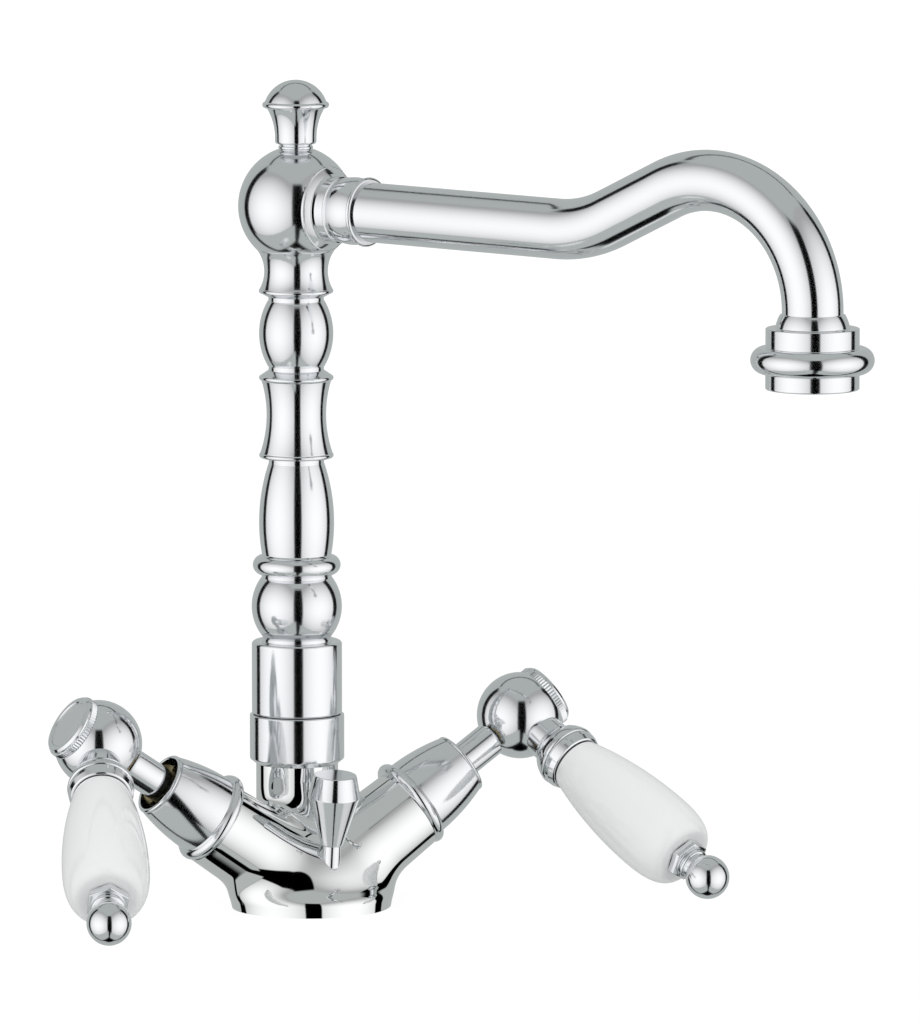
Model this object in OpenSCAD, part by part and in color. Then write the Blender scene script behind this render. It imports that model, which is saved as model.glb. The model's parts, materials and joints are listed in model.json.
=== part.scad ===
// Deck mounted basin mixer tap: two lever valves on raked arms, a turned column with a
// swivelling swan neck spout, and a pop-up waste knob in front. Millimetres, +Z up, the user
// stands at -Y. The origin is the middle of the base where it meets the deck.

/* [Base and body] */
// Diameter of the round base on the deck
base_d = 50; // [46:0.5:56]
// Height of the upright flank of the base
base_flank_h = 5.5; // [4:0.25:8]
// Rounding of the base's edges
base_round = 2.2; // [1:0.1:3]
// Distance from the base's middle back to the column's axis
column_back = 11.3; // [10:0.1:13]
// Diameter of the neck that carries the column
neck_d = 26.4; // [25:0.1:28]
// Height of the neck's shoulder above the deck
neck_top_z = 45; // [44:0.25:52]
// Diameter of the round core between the arms
core_d = 43; // [38:0.5:44]
// Height of that core's middle above the deck
core_z = 0.5; // [-1:0.25:1.5]
// Size of the blend where the core leaves the base
blend_core = 5; // [3:0.5:6]
// Size of the blend where the arms leave the base
blend_base = 10; // [6:0.5:12]
// Size of the blend between the two arms
blend_arms = 6; // [4:0.5:8]
// Size of the blend round the neck
blend_neck = 7; // [4:0.5:9]

/* [Arms] */
// Rake of each valve arm above the level
arm_angle = 34; // [31:0.5:37]
// Height at which the two arm axes meet
arm_meet_z = 7.4; // [6:0.1:9]
// Distance along an arm from that point to its end face
arm_len = 40.4; // [39:0.1:44]
// Diameter of an arm at its end face
arm_end_d = 27.4; // [26.5:0.1:29]
// Diameter of an arm at its root
arm_root_d = 30.4; // [28:0.1:32]
// How far the arm's skin hangs below the bore's axis
arm_drop = 1; // [0:0.1:1.2]

/* [Valves] */
// Diameter of the pocket that holds a headwork
pocket_d = 19; // [18:0.1:19.6]
// Depth of the pocket
pocket_depth = 21; // [20:0.25:23]
// Diameter of the headwork's upper barrel
barrel_d = 14; // [13:0.1:15]
// Height of the headwork's hexagon
hex_h = 4.1; // [3:0.1:5]
// Height of the headwork's barrel above the hexagon
barrel_h = 12; // [10:0.25:13]
// Diameter of the valve spindle
spindle_d = 8; // [7:0.1:8.6]
// Thickness of each ceramic disc
disc_t = 3; // [2.5:0.1:3.4]
// Thickness of the rubber seat seal
seat_t = 2; // [1.5:0.1:2.4]

/* [Valve covers] */
// Diameter over the ring at a cover's foot
cover_ring_d = 30.5; // [29.5:0.1:32]
// Thickness of that ring
cover_ring_wire = 3.9; // [3:0.1:4.2]
// Diameter of the cover above its ring
cover_foot_d = 26.8; // [26:0.1:28]
// Diameter over the cover's mouth
cover_mouth_d = 21; // [20.6:0.1:22]
// Length of the cover
cover_len = 23.7; // [22:0.1:26]
// Wall of the cover at its mouth
cover_wall = 1.2; // [0.9:0.05:1.4]

/* [Lever handles] */
// Distance along the arm axis from its end face to the ball's centre
ball_out = 48.8; // [47:0.1:52]
// Diameter of the handle ball
ball_d = 28; // [27:0.1:30]
// Diameter of the stem between cover and ball
stem_d = 11.3; // [10.8:0.1:12]
// Angle at which the levers hang below the level front direction
lever_hang = 33.5; // [28:0.5:36]
// Diameter of the lever's neck at the ball
lever_neck_d = 14; // [13:0.1:15]
// Distance from the ball's centre to the start of the bell
bell_start = 17.1; // [16:0.1:18]
// Distance from the ball's centre to the end of the bell
bell_end = 28.8; // [27.5:0.1:31]
// Diameter over the bell
bell_d = 21.2; // [20.4:0.1:22]
// Diameter of the rod inside the grip
tie_rod_d = 5; // [4.5:0.1:5.5]

/* [Ceramic grips] */
// Length of the ceramic grip
grip_len = 53.4; // [50:0.1:56]
// Diameter of the grip at the bell
grip_start_d = 18.4; // [17.6:0.1:19]
// Greatest diameter of the grip
grip_max_d = 27.8; // [26:0.1:29]
// Where the grip is widest, from its inner end
grip_widest = 34.8; // [30:0.1:38]
// Diameter of the grip's outer end
grip_end_d = 15.2; // [14.6:0.1:17]
// Thickness of the rubber washers at the grip's ends
grip_washer_t = 0.4; // [0.3:0.05:0.6]
// Diameter across the corners of the end nut's hexagon
end_hex_d = 14.2; // [13:0.1:15]
// Thickness of that hexagon
end_hex_h = 2.8; // [2.4:0.1:3.4]
// Diameter of the small end ball
end_ball_d = 14; // [13:0.1:15]

/* [Index caps] */
// Diameter over the knurled ring
index_ring_d = 21.5; // [20.6:0.1:22]
// Height of the knurled ring above the ball's flat
index_ring_h = 3.7; // [3.4:0.1:4.2]
// Number of knurl teeth
index_teeth = 64; // [40:4:72]
// Diameter of the plain disc set in the ring
index_disc_d = 15.8; // [14.5:0.1:16.2]

/* [Column] */
// Height of the swivel joint above the deck
joint_z = 61.3; // [60.4:0.1:66]
// Diameter of the fixed collar nut
collar_d = 30.4; // [30:0.1:32]
// Diameter of the column's foot
foot_d = 29; // [28:0.1:31]
// Height of the column's foot
foot_h = 23.4; // [21:0.1:26]
// Diameter of the turned orb above the foot
orb_d = 29; // [27:0.1:31]
// Height of the orb
orb_h = 19.4; // [18:0.1:20.4]
// Diameter over the round ring above the orb
ring_d = 28.2; // [26.5:0.1:30]
// Thickness of that ring
ring_wire = 6.2; // [5.4:0.1:6.6]
// Greatest diameter of the lower barrel
barrel_low_d = 24.1; // [23:0.1:26]
// Height of the lower barrel
barrel_low_h = 29.2; // [27:0.1:31]
// Smallest diameter of the waisted length
waist_d = 19.1; // [18:0.1:20]
// Height of the waisted length
waist_h = 28.6; // [27:0.1:30]
// Greatest diameter of the upper barrel
barrel_up_d = 23.8; // [22.5:0.1:25]
// Height of the upper barrel
barrel_up_h = 20.8; // [19.5:0.1:22]
// Smallest diameter of the bell under the head ball
neck_bell_d = 20.4; // [19:0.1:21]
// Height of that bell
neck_bell_h = 15; // [13.5:0.1:16]
// Diameter of the bell where the head ball sits on it
bell_top_d = 25; // [24.4:0.1:27]
// Diameter of the rims at the ends of the waist and the bell
rim_d = 23.9; // [23:0.1:24.6]
// Height of the grooves between the turned lengths
groove_h = 1.5; // [1:0.1:1.8]
// Bore of the column's water way
column_bore = 12; // [10:0.25:12.6]

/* [Head ball and finial] */
// Diameter of the head ball
head_d = 37; // [36:0.1:39]
// How far beyond the axis the ball's outline is struck, which draws it taller than wide
head_stretch = 0.9; // [0.1:0.1:1.6]
// Height of the finial above the head ball's centre
finial_top = 40.6; // [40:0.1:44]
// Diameter over the finial's rim
finial_rim_d = 21.4; // [20:0.1:23]
// Diameter of the finial's foot
finial_foot_d = 13.3; // [12.6:0.1:14.4]

/* [Spout] */
// Outside diameter of the spout tube
tube_d = 19; // [18.4:0.1:19.4]
// Wall of the spout tube
tube_wall = 1.5; // [1:0.1:2]
// Reach from the column's axis to the outlet's axis
reach = 201; // [190:1:220]
// Radius of the sweep that lifts the tube
sweep_r = 47; // [40:1:56]
// Angle to which the tube climbs
sweep_angle = 25.5; // [23:0.5:28]
// Straight climb between the sweep and the bend
climb_len = 23.5; // [15:0.5:28]
// Radius of the bend that turns the tube down
bend_r = 38.5; // [36:0.5:42]
// Angle of the spout to the right of straight ahead
spout_swing = 28.5; // [0:0.5:40]
// How far the first length of the spout falls from the level
spout_droop = 0.7; // [0:0.1:1.5]
// Diameter of the boss on the head ball
boss_d = 21.6; // [21:0.1:22]
// Distance from the column's axis to the end of the boss
boss_out = 28; // [27:0.1:31]
// Diameter of the seat round the boss's foot
boss_seat_d = 27; // [26:0.1:28]
// Diameter over the thin ring at the tube's root
root_ring_d = 22.2; // [21.8:0.1:24]

/* [Outlet] */
// Height above the deck of the outlet's lower face
outlet_z = 179.8; // [176:0.1:182]
// Diameter of the nozzle's upper band
nozzle_d = 29; // [28.4:0.1:31]
// Diameter over the nozzle's round ring
nozzle_ring_d = 38.3; // [37:0.1:40]
// Thickness of that ring
nozzle_ring_wire = 8.3; // [7.6:0.1:9]
// Diameter of the aerator's thread
aerator_thread_d = 24; // [22:0.1:24.4]
// Height of the aerator's band below the ring
aerator_band_h = 4.9; // [4.2:0.1:5.6]

/* [Pop-up knob] */
// Distance in front of the base's middle at which the rod meets the deck
rod_front = 13.9; // [13.5:0.1:15]
// Lean of the rod towards the user
rod_lean = 6.3; // [5:0.1:7]
// Diameter of the lift rod
rod_d = 4; // [3.6:0.1:4.2]
// Distance along the rod from the deck to the guide's upper face
guide_top = 22.4; // [21:0.1:25]
// Height of the knob
knob_h = 23; // [21:0.1:25]
// Diameter of the knob's flat top
knob_top_d = 13.7; // [12.5:0.1:15]
// Greatest diameter of the knob
knob_wide_d = 16.3; // [15:0.1:17]
// Diameter of the knob's lower end
knob_foot_d = 7; // [6.4:0.1:8]

/* [Connections] */
// Diameter of the two M10 by 1 inlet holes before threading
inlet_d = 9; // [8.9:0.1:9.2]
// Distance between the inlet holes
inlet_pitch = 19; // [18:0.25:20]
// Depth of the inlet holes
inlet_depth = 12; // [10:0.25:12]
// Diameter of the M8 fixing hole before threading
stud_d = 6.8; // [6.7:0.05:7]
// Distance behind the base's middle of the fixing hole
stud_back = 15; // [14.5:0.1:16]
// Depth of the fixing hole
stud_depth = 14; // [13:0.25:15]

/* [Clearances] */
// Play on the radius where pieces turn or slide on each other
run_play = 0.06; // [0.03:0.01:0.09]
// Play on the radius where fixed pieces fit each other
fit_play = 0.05; // [0.02:0.01:0.1]
// Play along the axis where pieces turn on each other
end_play = 0.1; // [0.05:0.01:0.2]

/* [Hidden] */
$fn = 64;

// Directions of the right arm's axis and of the line square to it that points down and outwards
arm_u = [cos(arm_angle), 0, sin(arm_angle)];
arm_v = [sin(arm_angle), 0, -cos(arm_angle)];

// Sizes that follow from others along an arm, measured from the point where the axes meet
pocket_s = arm_len - pocket_depth;
seat_s = pocket_s + seat_t;
disc_s = seat_s + disc_t;
foot_s = disc_s + disc_t;
spindle_foot_h = 2;
spindle_foot_d = 13;
chamber_d = pocket_d - 2.4;
flange_d = pocket_d + 2.2;
flange_h = 1.5;
hex_s = arm_len + flange_h;
barrel_s = hex_s + hex_h;
barrel_end_s = barrel_s + barrel_h;
cover_end_s = arm_len + cover_len;
cover_web = 4;
cover_lip = 1.3;
cover_socket_d = flange_d + 0.8;
ball_s = arm_len + ball_out;
stem_start_s = barrel_end_s + 1;
ball_r = ball_d / 2;
stem_seat = sqrt(ball_r * ball_r - stem_d * stem_d / 4);
stem_sunk = 5;
spindle_tip_d = spindle_d - 1;
spindle_end_s = ball_s - stem_seat + 2;
screw_d = 5;
screw_head_d = 8.4;
screw_head_h = 3;
screw_seat = 1;
screw_len = 14;
spindle_seal_wire = 1.1;
index_flat = sqrt(ball_r * ball_r - index_ring_d * index_ring_d / 4);
index_hole_d = 10;
index_spigot_h = 3;
index_band = 0.62 * index_ring_h;
index_sink = 0.35;
index_disc_t = 0.9;
tooth_depth = 0.35;

// Sizes that follow along a lever, measured from the ball's centre
neck_seat = sqrt(ball_r * ball_r - lever_neck_d * lever_neck_d / 4);
grip_start = bell_end + grip_washer_t;
grip_end = grip_start + grip_len;
nut_start = grip_end + grip_washer_t;
nut_face = nut_start + end_hex_h;
end_neck_d = 0.66 * end_ball_d;
end_ball_at = nut_face + 3.4 + sqrt(end_ball_d * end_ball_d - end_neck_d * end_neck_d) / 2;
tie_rod_in = 6;
tie_rod_end = end_ball_at;
grip_bore = tie_rod_d + 1.4;

// Heights along the column
nut_top_z = joint_z - 0.3;
nut_lip_h = 2.4;
neck_thread_d = 24;
neck_thread_z = nut_top_z - nut_lip_h - 1.5 - end_play;
socket_d = 18;
socket_floor_z = 20;
flange_out_d = 22;
lip_bore_d = socket_d + 1.2;
spigot_low_z = 25;
spigot_in = 13.5;
spigot_bore = 13;
seal_wire = 1.6;
orb_z = joint_z + foot_h + groove_h * 0.8;
ring_z = orb_z + orb_h + groove_h * 0.6;
barrel_low_z = ring_z + ring_wire + groove_h * 0.3;
waist_z = barrel_low_z + barrel_low_h + groove_h;
barrel_up_z = waist_z + waist_h + groove_h;
neck_bell_z = barrel_up_z + barrel_up_h + groove_h;
column_top_z = neck_bell_z + neck_bell_h;
head_r = head_d / 2 + head_stretch;
function head_rise(r) = sqrt(head_r * head_r - (r + head_stretch) * (r + head_stretch));
head_seat = head_rise(bell_top_d / 2);
head_z = column_top_z + head_seat;
head_spigot_d = 15;
head_spigot_h = 6;
head_seal_t = 1;
finial_stem_d = 8;
finial_stem_in = 9;
finial_neck_d = 0.84 * finial_foot_d;

// The spout's line in its own upright plane: along, up, over and down
tube_in = 20;
bend_centre_x = reach - bend_r;
tube_join_len = 0.5;
climb_end_x = bend_centre_x - bend_r * sin(sweep_angle);
sweep_end_x = climb_end_x - climb_len * cos(sweep_angle);
run_len = (sweep_end_x - sweep_r * (sin(sweep_angle) + sin(spout_droop))) / cos(spout_droop);
sweep_centre_x = run_len * cos(spout_droop) + sweep_r * sin(spout_droop);
sweep_centre_z = sweep_r * cos(spout_droop) - run_len * sin(spout_droop);
sweep_end_z = sweep_centre_z - sweep_r * cos(sweep_angle);
climb_end_z = sweep_end_z + climb_len * sin(sweep_angle);
bend_centre_z = climb_end_z - bend_r * cos(sweep_angle);
nozzle_ring_z = outlet_z + aerator_band_h + nozzle_ring_wire / 2 - head_z;
nozzle_band_h = 6;
nozzle_band_z = nozzle_ring_z + nozzle_ring_wire / 2 - 0.2;
shoulder_z = nozzle_band_z + nozzle_band_h;
shoulder_h = 4.3;
tube_end_z = shoulder_z - 2;
tube_out_d = tube_d;

// Places of the spout's plane and of the pop-up rod
function spout_turn() = -90 + spout_swing;

module in_column() translate([0, column_back, 0]) children();
module in_spout() translate([0, column_back, head_z]) rotate([0, 0, spout_turn()]) children();
// Z runs out along the spout's first length, from the ball's centre
module in_run() in_spout() rotate([0, 90 + spout_droop, 0]) children();
module in_outlet() in_spout() translate([reach, 0, 0]) children();
module in_rod() translate([0, -rod_front, 0]) rotate([rod_lean, 0, 0]) children();
// The right arm's own frame: Z runs out along the arm, X points down and outwards
module in_arm() translate([0, 0, arm_meet_z]) rotate([0, 90 - arm_angle, 0]) children();
// The lever's frame: Z runs from the ball's centre out along the lever
module in_lever() in_arm() translate([0, 0, ball_s]) rotate([0, 0, lever_hang]) rotate([90, 0, 0]) children();
module side(name) { if (name == "left") mirror([1, 0, 0]) children(); else children(); }

// A solid ring with its foot at z
module ring(d_out, d_in, h, z = 0) translate([0, 0, z]) difference() {
    cylinder(d = d_out, h = h);
    translate([0, 0, -1]) cylinder(d = d_in, h = h + 2);
}
// A hole along Z from z upwards
module hole(d, h, z = 0) translate([0, 0, z]) cylinder(d = d, h = h);
// A round rubber ring in its groove
module o_ring(d_out, wire, z) translate([0, 0, z]) rotate_extrude() translate([(d_out - wire) / 2, 0]) circle(d = wire);
// A round bead on a turned outline
module bead(r, a, z) { translate([r - a, z]) circle(a); translate([0, z - a]) square([r - a, 2 * a]); }
// Radius of an arc that rises by h over half a chord c
function arc_r(c, h) = (c * c + h * h) / (2 * h);
// An outline that swells to r_mid between z0 and z1, with r_end at its far end
module swell(r_mid, r_end, z_mid, z_far, z0, z1) {
    R = arc_r(abs(z_far - z_mid), r_mid - r_end);
    intersection() {
        translate([r_mid - R, z_mid]) circle(R, $fn = 180);
        translate([0, z0]) square([r_mid + 1, z1 - z0]);
    }
}
// An outline that narrows to r_mid between z0 and z1
module narrow(r_mid, r_end, z_mid, z0, z1) {
    R = arc_r(max(z1 - z_mid, z_mid - z0), r_end - r_mid);
    difference() {
        translate([0, z0]) square([r_end, z1 - z0]);
        translate([r_mid + R, z_mid]) circle(R, $fn = 180);
    }
}

// Cast body: distance fields of the base, the core, the arms and the neck, blended into one skin
function blend(a, b, k) = let (h = max(k - abs(a - b), 0) / k) min(a, b) - h * h * k / 4;
function base_field(p) = let (low = 8, mid = (base_flank_h - low) / 2, half = (base_flank_h + low) / 2,
    a = norm([p.x, p.y]) - (base_d / 2 - base_round), b = abs(p.z - mid) - (half - base_round))
    min(max(a, b), 0) + norm([max(a, 0), max(b, 0)]) - base_round;
function arm_field(p, s_x) = let (q = [s_x * p.x, p.y, p.z - arm_meet_z] - arm_drop * arm_v,
    s = max(0, min(q * arm_u, arm_len + 8)))
    norm(q - s * arm_u) - (arm_root_d + (arm_end_d - arm_root_d) * min(s / arm_len, 1)) / 2;
function neck_field(p) = norm([p.x, p.y - column_back, min(p.z - 16, 0) + max(p.z - neck_top_z - 4, 0)]) - neck_d / 2;
function core_field(p) = norm(p - [0, 0, core_z]) - core_d / 2;
function body_field(p) = blend(blend(blend(base_field(p), core_field(p), blend_core),
    blend(arm_field(p, 1), arm_field(p, -1), blend_arms), blend_base), neck_field(p), blend_neck);
body_core = [0, 4, 15];
function skin(dir, lo, hi, n) = n == 0 ? body_core + dir * (lo + hi) / 2
    : body_field(body_core + dir * (lo + hi) / 2) < 0 ? skin(dir, (lo + hi) / 2, hi, n - 1) : skin(dir, lo, (lo + hi) / 2, n - 1);
skin_turns = 60;
skin_rows = 36;
module cast_skin() {
    pts = concat(
        [skin([0, 0, -1], 0, 75, 14)],
        [for (j = [1:skin_rows - 1]) for (i = [0:skin_turns - 1])
            let (el = -90 + 180 * j / skin_rows, az = 360 * i / skin_turns)
            skin([cos(el) * cos(az), cos(el) * sin(az), sin(el)], 0, 75, 14)],
        [skin([0, 0, 1], 0, 75, 14)]);
    top = len(pts) - 1;
    faces = concat(
        [for (i = [0:skin_turns - 1]) [0, 1 + i, 1 + (i + 1) % skin_turns]],
        [for (j = [0:skin_rows - 3]) for (i = [0:skin_turns - 1])
            let (a = 1 + j * skin_turns + i, b = 1 + j * skin_turns + (i + 1) % skin_turns)
            [a, a + skin_turns, b]],
        [for (j = [0:skin_rows - 3]) for (i = [0:skin_turns - 1])
            let (a = 1 + j * skin_turns + i, b = 1 + j * skin_turns + (i + 1) % skin_turns)
            [b, a + skin_turns, b + skin_turns]],
        [for (i = [0:skin_turns - 1]) [top, 1 + (skin_rows - 2) * skin_turns + (i + 1) % skin_turns,
            1 + (skin_rows - 2) * skin_turns + i]]);
    polyhedron(pts, faces);
}

seal_groove_d = base_d - 5;
seal_w = 2.5;
seal_t = 2.2;
guide_d = rod_d + 2;
water_way_d = 5;
module body() color("silver") difference() {
    union() {
        difference() {
            cast_skin();
            translate([0, 0, -30]) cylinder(d = 4 * base_d, h = 30);
            in_column() hole(3 * neck_d, 40, neck_top_z);
            for (name = ["left", "right"]) side(name) in_arm() hole(3 * arm_end_d, 40, arm_len);
        }
        in_column() hole(neck_thread_d, neck_thread_z - socket_floor_z - 5, socket_floor_z + 5);
    }
    in_column() hole(socket_d, neck_thread_z, socket_floor_z);
    for (name = ["left", "right"]) side(name) {
        in_arm() hole(pocket_d, pocket_depth + 1, pocket_s);
        in_arm() hole(water_way_d + 1, pocket_s, 9.5);
        translate([inlet_pitch / 2, 2, -1]) cylinder(d = inlet_d, h = inlet_depth + 1);
        water_way();
    }
    translate([0, stud_back, -1]) cylinder(d = stud_d, h = stud_depth + 1);
    in_rod() hole(guide_d, guide_top + 10, -5);
    ring(seal_groove_d, seal_groove_d - 2 * seal_w, seal_t + 1, -1);
}
// The drilling that leads mixed water from a valve's chamber to the column's socket
module water_way() {
    from = [0, 0, arm_meet_z] + (arm_len - 6.5) * arm_u;
    to = [0, column_back, neck_top_z - 9];
    run = to - from;
    translate(from) rotate([0, acos(run.z / norm(run)), atan2(run.y, run.x)]) cylinder(d = water_way_d, h = norm(run));
}
module base_seal() color("dimgray") ring(seal_groove_d - 2 * fit_play, seal_groove_d - 2 * seal_w + 2 * fit_play, seal_t);

module collar_nut() color("silver") in_column() difference() {
    rotate_extrude() difference() {
        polygon([[0, neck_top_z], [neck_d / 2, neck_top_z], [collar_d / 2, neck_top_z + 1.6],
                 [collar_d / 2, nut_top_z - 0.5], [collar_d / 2 - 0.5, nut_top_z], [0, nut_top_z]]);
        translate([0, neck_top_z - 1]) square([neck_thread_d / 2 + fit_play, nut_top_z - nut_lip_h - neck_top_z + 1]);
    }
    hole(lip_bore_d, 20, neck_top_z);
}
module slip_washer() color("white") in_column() ring(foot_d - 1, lip_bore_d, joint_z - nut_top_z, nut_top_z);

// Pop-up rod, its guide and its knob
rod_low = 1.2;
module popup_guide() color("silver") in_rod() difference() {
    rotate_extrude() polygon([[0, 3], [guide_d / 2 - fit_play, 3], [guide_d / 2 - fit_play, guide_top - 0.35],
                              [guide_d / 2 - fit_play - 0.35, guide_top], [0, guide_top]]);
    hole(rod_d + 2 * run_play, guide_top + 2);
}
module popup_rod() color("silver") in_rod() hole(rod_d, guide_top + 10 - rod_low, rod_low);
knob_waist = 0.66;
module popup_knob() color("silver") in_rod() translate([0, 0, guide_top + end_play]) difference() {
    rotate_extrude() polygon([[0, 0], [knob_foot_d / 2 - 0.3, 0], [knob_foot_d / 2, 0.3],
        [knob_wide_d / 2 - 0.15, knob_h * knob_waist - 0.5], [knob_wide_d / 2, knob_h * knob_waist],
        [knob_wide_d / 2 - 0.1, knob_h * knob_waist + 0.5], [knob_top_d / 2 + 0.1, knob_h - 0.4],
        [knob_top_d / 2 - 0.4, knob_h], [0, knob_h]]);
    hole(rod_d + 2 * fit_play, 11.2, -1);
}

// Headwork: hexagon bonnet with a chamber for the discs
module headwork() color("goldenrod") in_arm() difference() {
    union() {
        hole(pocket_d - 2 * fit_play, arm_len - seat_s, seat_s);
        hole(flange_d, flange_h, arm_len);
        translate([0, 0, hex_s]) cylinder(d = flange_d, h = hex_h, $fn = 6);
        hole(barrel_d, barrel_h, barrel_s);
    }
    hole(chamber_d, foot_s + spindle_foot_h + end_play - seat_s + 1, seat_s - 1);
    hole(spindle_d + 2 * run_play, barrel_end_s - seat_s, seat_s + 1);
    for (turn = [0, 90]) translate([0, 0, foot_s - 0.5]) rotate([0, 90, turn]) cylinder(d = 4, h = pocket_d, center = true);
}
module seat_seal() color("dimgray") in_arm() ring(pocket_d - 2.6, pocket_d - 9, seat_t, pocket_s);
module disc_ports(z) for (turn = [0, 180]) rotate([0, 0, turn]) translate([chamber_d / 4 + 0.3, 0, z - 1]) cylinder(d = 4.4, h = disc_t + 2);
module fixed_disc() color("white") in_arm() difference() {
    hole(chamber_d - 2 * fit_play, disc_t, seat_s);
    disc_ports(seat_s);
}
module moving_disc() color("white") in_arm() difference() {
    hole(chamber_d - 1, disc_t - 0.05, disc_s + 0.05);
    rotate([0, 0, 90]) disc_ports(disc_s);
}
module spindle() color("goldenrod") in_arm() difference() {
    union() {
        hole(spindle_foot_d, spindle_foot_h, foot_s);
        hole(spindle_d, barrel_end_s - foot_s + 0.5, foot_s);
        hole(spindle_tip_d, spindle_end_s - foot_s, foot_s);
    }
    hole(screw_d + 2 * fit_play, spindle_end_s, spindle_end_s - screw_len + 2);
    translate([0, 0, barrel_s + 4]) rotate_extrude()
        translate([spindle_d / 2 - spindle_seal_wire, -spindle_seal_wire / 2 - fit_play]) square([2, spindle_seal_wire + 2 * fit_play]);
}
module spindle_seal() color("dimgray") in_arm() o_ring(spindle_d + run_play, spindle_seal_wire, barrel_s + 4);

module cover() color("silver") in_arm() difference() {
    translate([0, 0, arm_len]) rotate_extrude() intersection() {
        union() {
            bead(cover_ring_d / 2, cover_ring_wire / 2, cover_ring_wire / 2 - 0.1);
            swell(cover_foot_d / 2, cover_mouth_d / 2, 0.5, cover_len - cover_lip, 0, cover_len - cover_lip);
            translate([0, cover_len - cover_lip - 0.2]) square([cover_mouth_d / 2 - 0.25, 0.3]);
            bead(cover_mouth_d / 2, cover_lip / 2, cover_len - cover_lip / 2);
        }
        square([cover_ring_d, cover_len]);
    }
    hole(cover_socket_d, barrel_s - arm_len + 1, arm_len - 1);
    hole(barrel_d + 2 * fit_play, cover_len, arm_len);
    hole(cover_mouth_d - 2 * cover_wall, cover_len, barrel_s + cover_web);
}
module stem() color("silver") in_arm() difference() {
    hole(stem_d, ball_s - stem_seat + stem_sunk - stem_start_s, stem_start_s);
    hole(spindle_tip_d + 2 * fit_play, spindle_end_s - stem_start_s + 2, stem_start_s - 1);
    hole(screw_d + 0.4, ball_s, stem_start_s);
}
module handle_ball() color("silver") difference() {
    in_arm() translate([0, 0, ball_s]) sphere(d = ball_d, $fn = 96);
    in_arm() {
        hole(stem_d + 2 * fit_play, stem_sunk + 5, ball_s - stem_seat - 5);
        hole(ball_d, 10, ball_s - stem_seat - 10);
        hole(screw_d + 0.4, ball_d, ball_s - stem_seat);
        hole(index_hole_d, ball_d, ball_s + screw_seat);
        hole(ball_d, ball_d, ball_s + index_flat);
    }
    in_lever() {
        hole(ball_d, ball_d, neck_seat);
        hole(tie_rod_d + 2 * fit_play, ball_d, tie_rod_in);
    }
}
module ball_screw() color("gray") in_arm() difference() {
    union() {
        hole(screw_d, screw_len, ball_s + screw_seat - screw_len);
        hole(screw_head_d, screw_head_h, ball_s + screw_seat);
    }
    translate([0, 0, ball_s + screw_seat + 1]) cylinder(d = 4.6, h = 4, $fn = 6);
}
module index_ring() color("silver") in_arm() translate([0, 0, ball_s + index_flat]) difference() {
    union() {
        linear_extrude(index_band) polygon([for (i = [0:2 * index_teeth - 1])
            let (r = index_ring_d / 2 - (i % 2) * tooth_depth, a = 180 * i / index_teeth) r * [cos(a), sin(a)]]);
        rotate_extrude() polygon([[0, index_band], [index_ring_d / 2 - 0.5, index_band],
            [index_ring_d / 2 - 0.5, index_ring_h - 0.9], [index_ring_d / 2 - 1.1, index_ring_h], [0, index_ring_h]]);
        hole(index_hole_d - 2 * fit_play, index_spigot_h + 0.1, -index_spigot_h);
    }
    hole(index_disc_d + 2 * fit_play, 5, index_ring_h - index_sink - index_disc_t);
}
module index_disc() color("white") in_arm() hole(index_disc_d, index_disc_t, ball_s + index_flat + index_ring_h - index_sink - index_disc_t);

bell_band_h = 3.7;
bell_groove = 0.4;
module lever_bell() color("silver") in_lever() difference() {
    rotate_extrude() {
        translate([0, neck_seat]) square([lever_neck_d / 2, bell_start + 1.6 - neck_seat]);
        translate([0, bell_start]) square([lever_neck_d / 2 + 0.35, 0.8]);
        bell_outline();
        polygon([[0, bell_end - bell_band_h - bell_groove], [bell_d / 2 - 0.6, bell_end - bell_band_h - bell_groove],
                 [bell_d / 2 - 0.6, bell_end - bell_band_h], [bell_d / 2 - 0.2, bell_end - bell_band_h + 0.2],
                 [bell_d / 2 - 0.3, bell_end - 0.55 * bell_band_h], [grip_start_d / 2 + 0.5, bell_end - 0.3],
                 [grip_start_d / 2 + 0.2, bell_end], [0, bell_end]]);
    }
    hole(tie_rod_d + 2 * fit_play, bell_end, 0);
}
module bell_outline() {
    far = bell_end - bell_band_h - bell_groove;
    swell(bell_d / 2, lever_neck_d / 2 + 0.3, far - 0.6, bell_start + 0.5, bell_start + 0.5, far);
}
module inner_washer() color("dimgray") in_lever() ring(grip_start_d - 0.8, grip_bore, grip_washer_t, bell_end);
module outer_washer() color("dimgray") in_lever() ring(end_hex_d - 2.4, grip_bore, grip_washer_t, grip_end);

// Grip: a long shallow arc to the widest place, then a short full one
function arc_at(r_mid, r_end, run, x) = let (R = arc_r(run, r_mid - r_end)) r_mid - R + sqrt(R * R - x * x);
function grip_r(x) = x < grip_widest
    ? arc_at(grip_max_d / 2, grip_start_d / 2 + 0.3, grip_widest, grip_widest - x)
    : arc_at(grip_max_d / 2, grip_end_d / 2, grip_len - grip_widest, x - grip_widest);
grip_steps = 40;
grip_edge = 0.35;
module grip() color("ivory") in_lever() difference() {
    translate([0, 0, grip_start]) rotate_extrude() polygon(concat([[0, 0], [grip_r(0) - grip_edge, 0]],
        [for (i = [0:grip_steps]) let (x = grip_edge + (grip_len - 2 * grip_edge) * i / grip_steps) [grip_r(x), x]],
        [[grip_end_d / 2 - grip_edge, grip_len], [0, grip_len]]));
    hole(grip_bore, grip_len + 2, grip_start - 1);
}
module tie_rod() color("gray") in_lever() hole(tie_rod_d, tie_rod_end - tie_rod_in, tie_rod_in);
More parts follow.
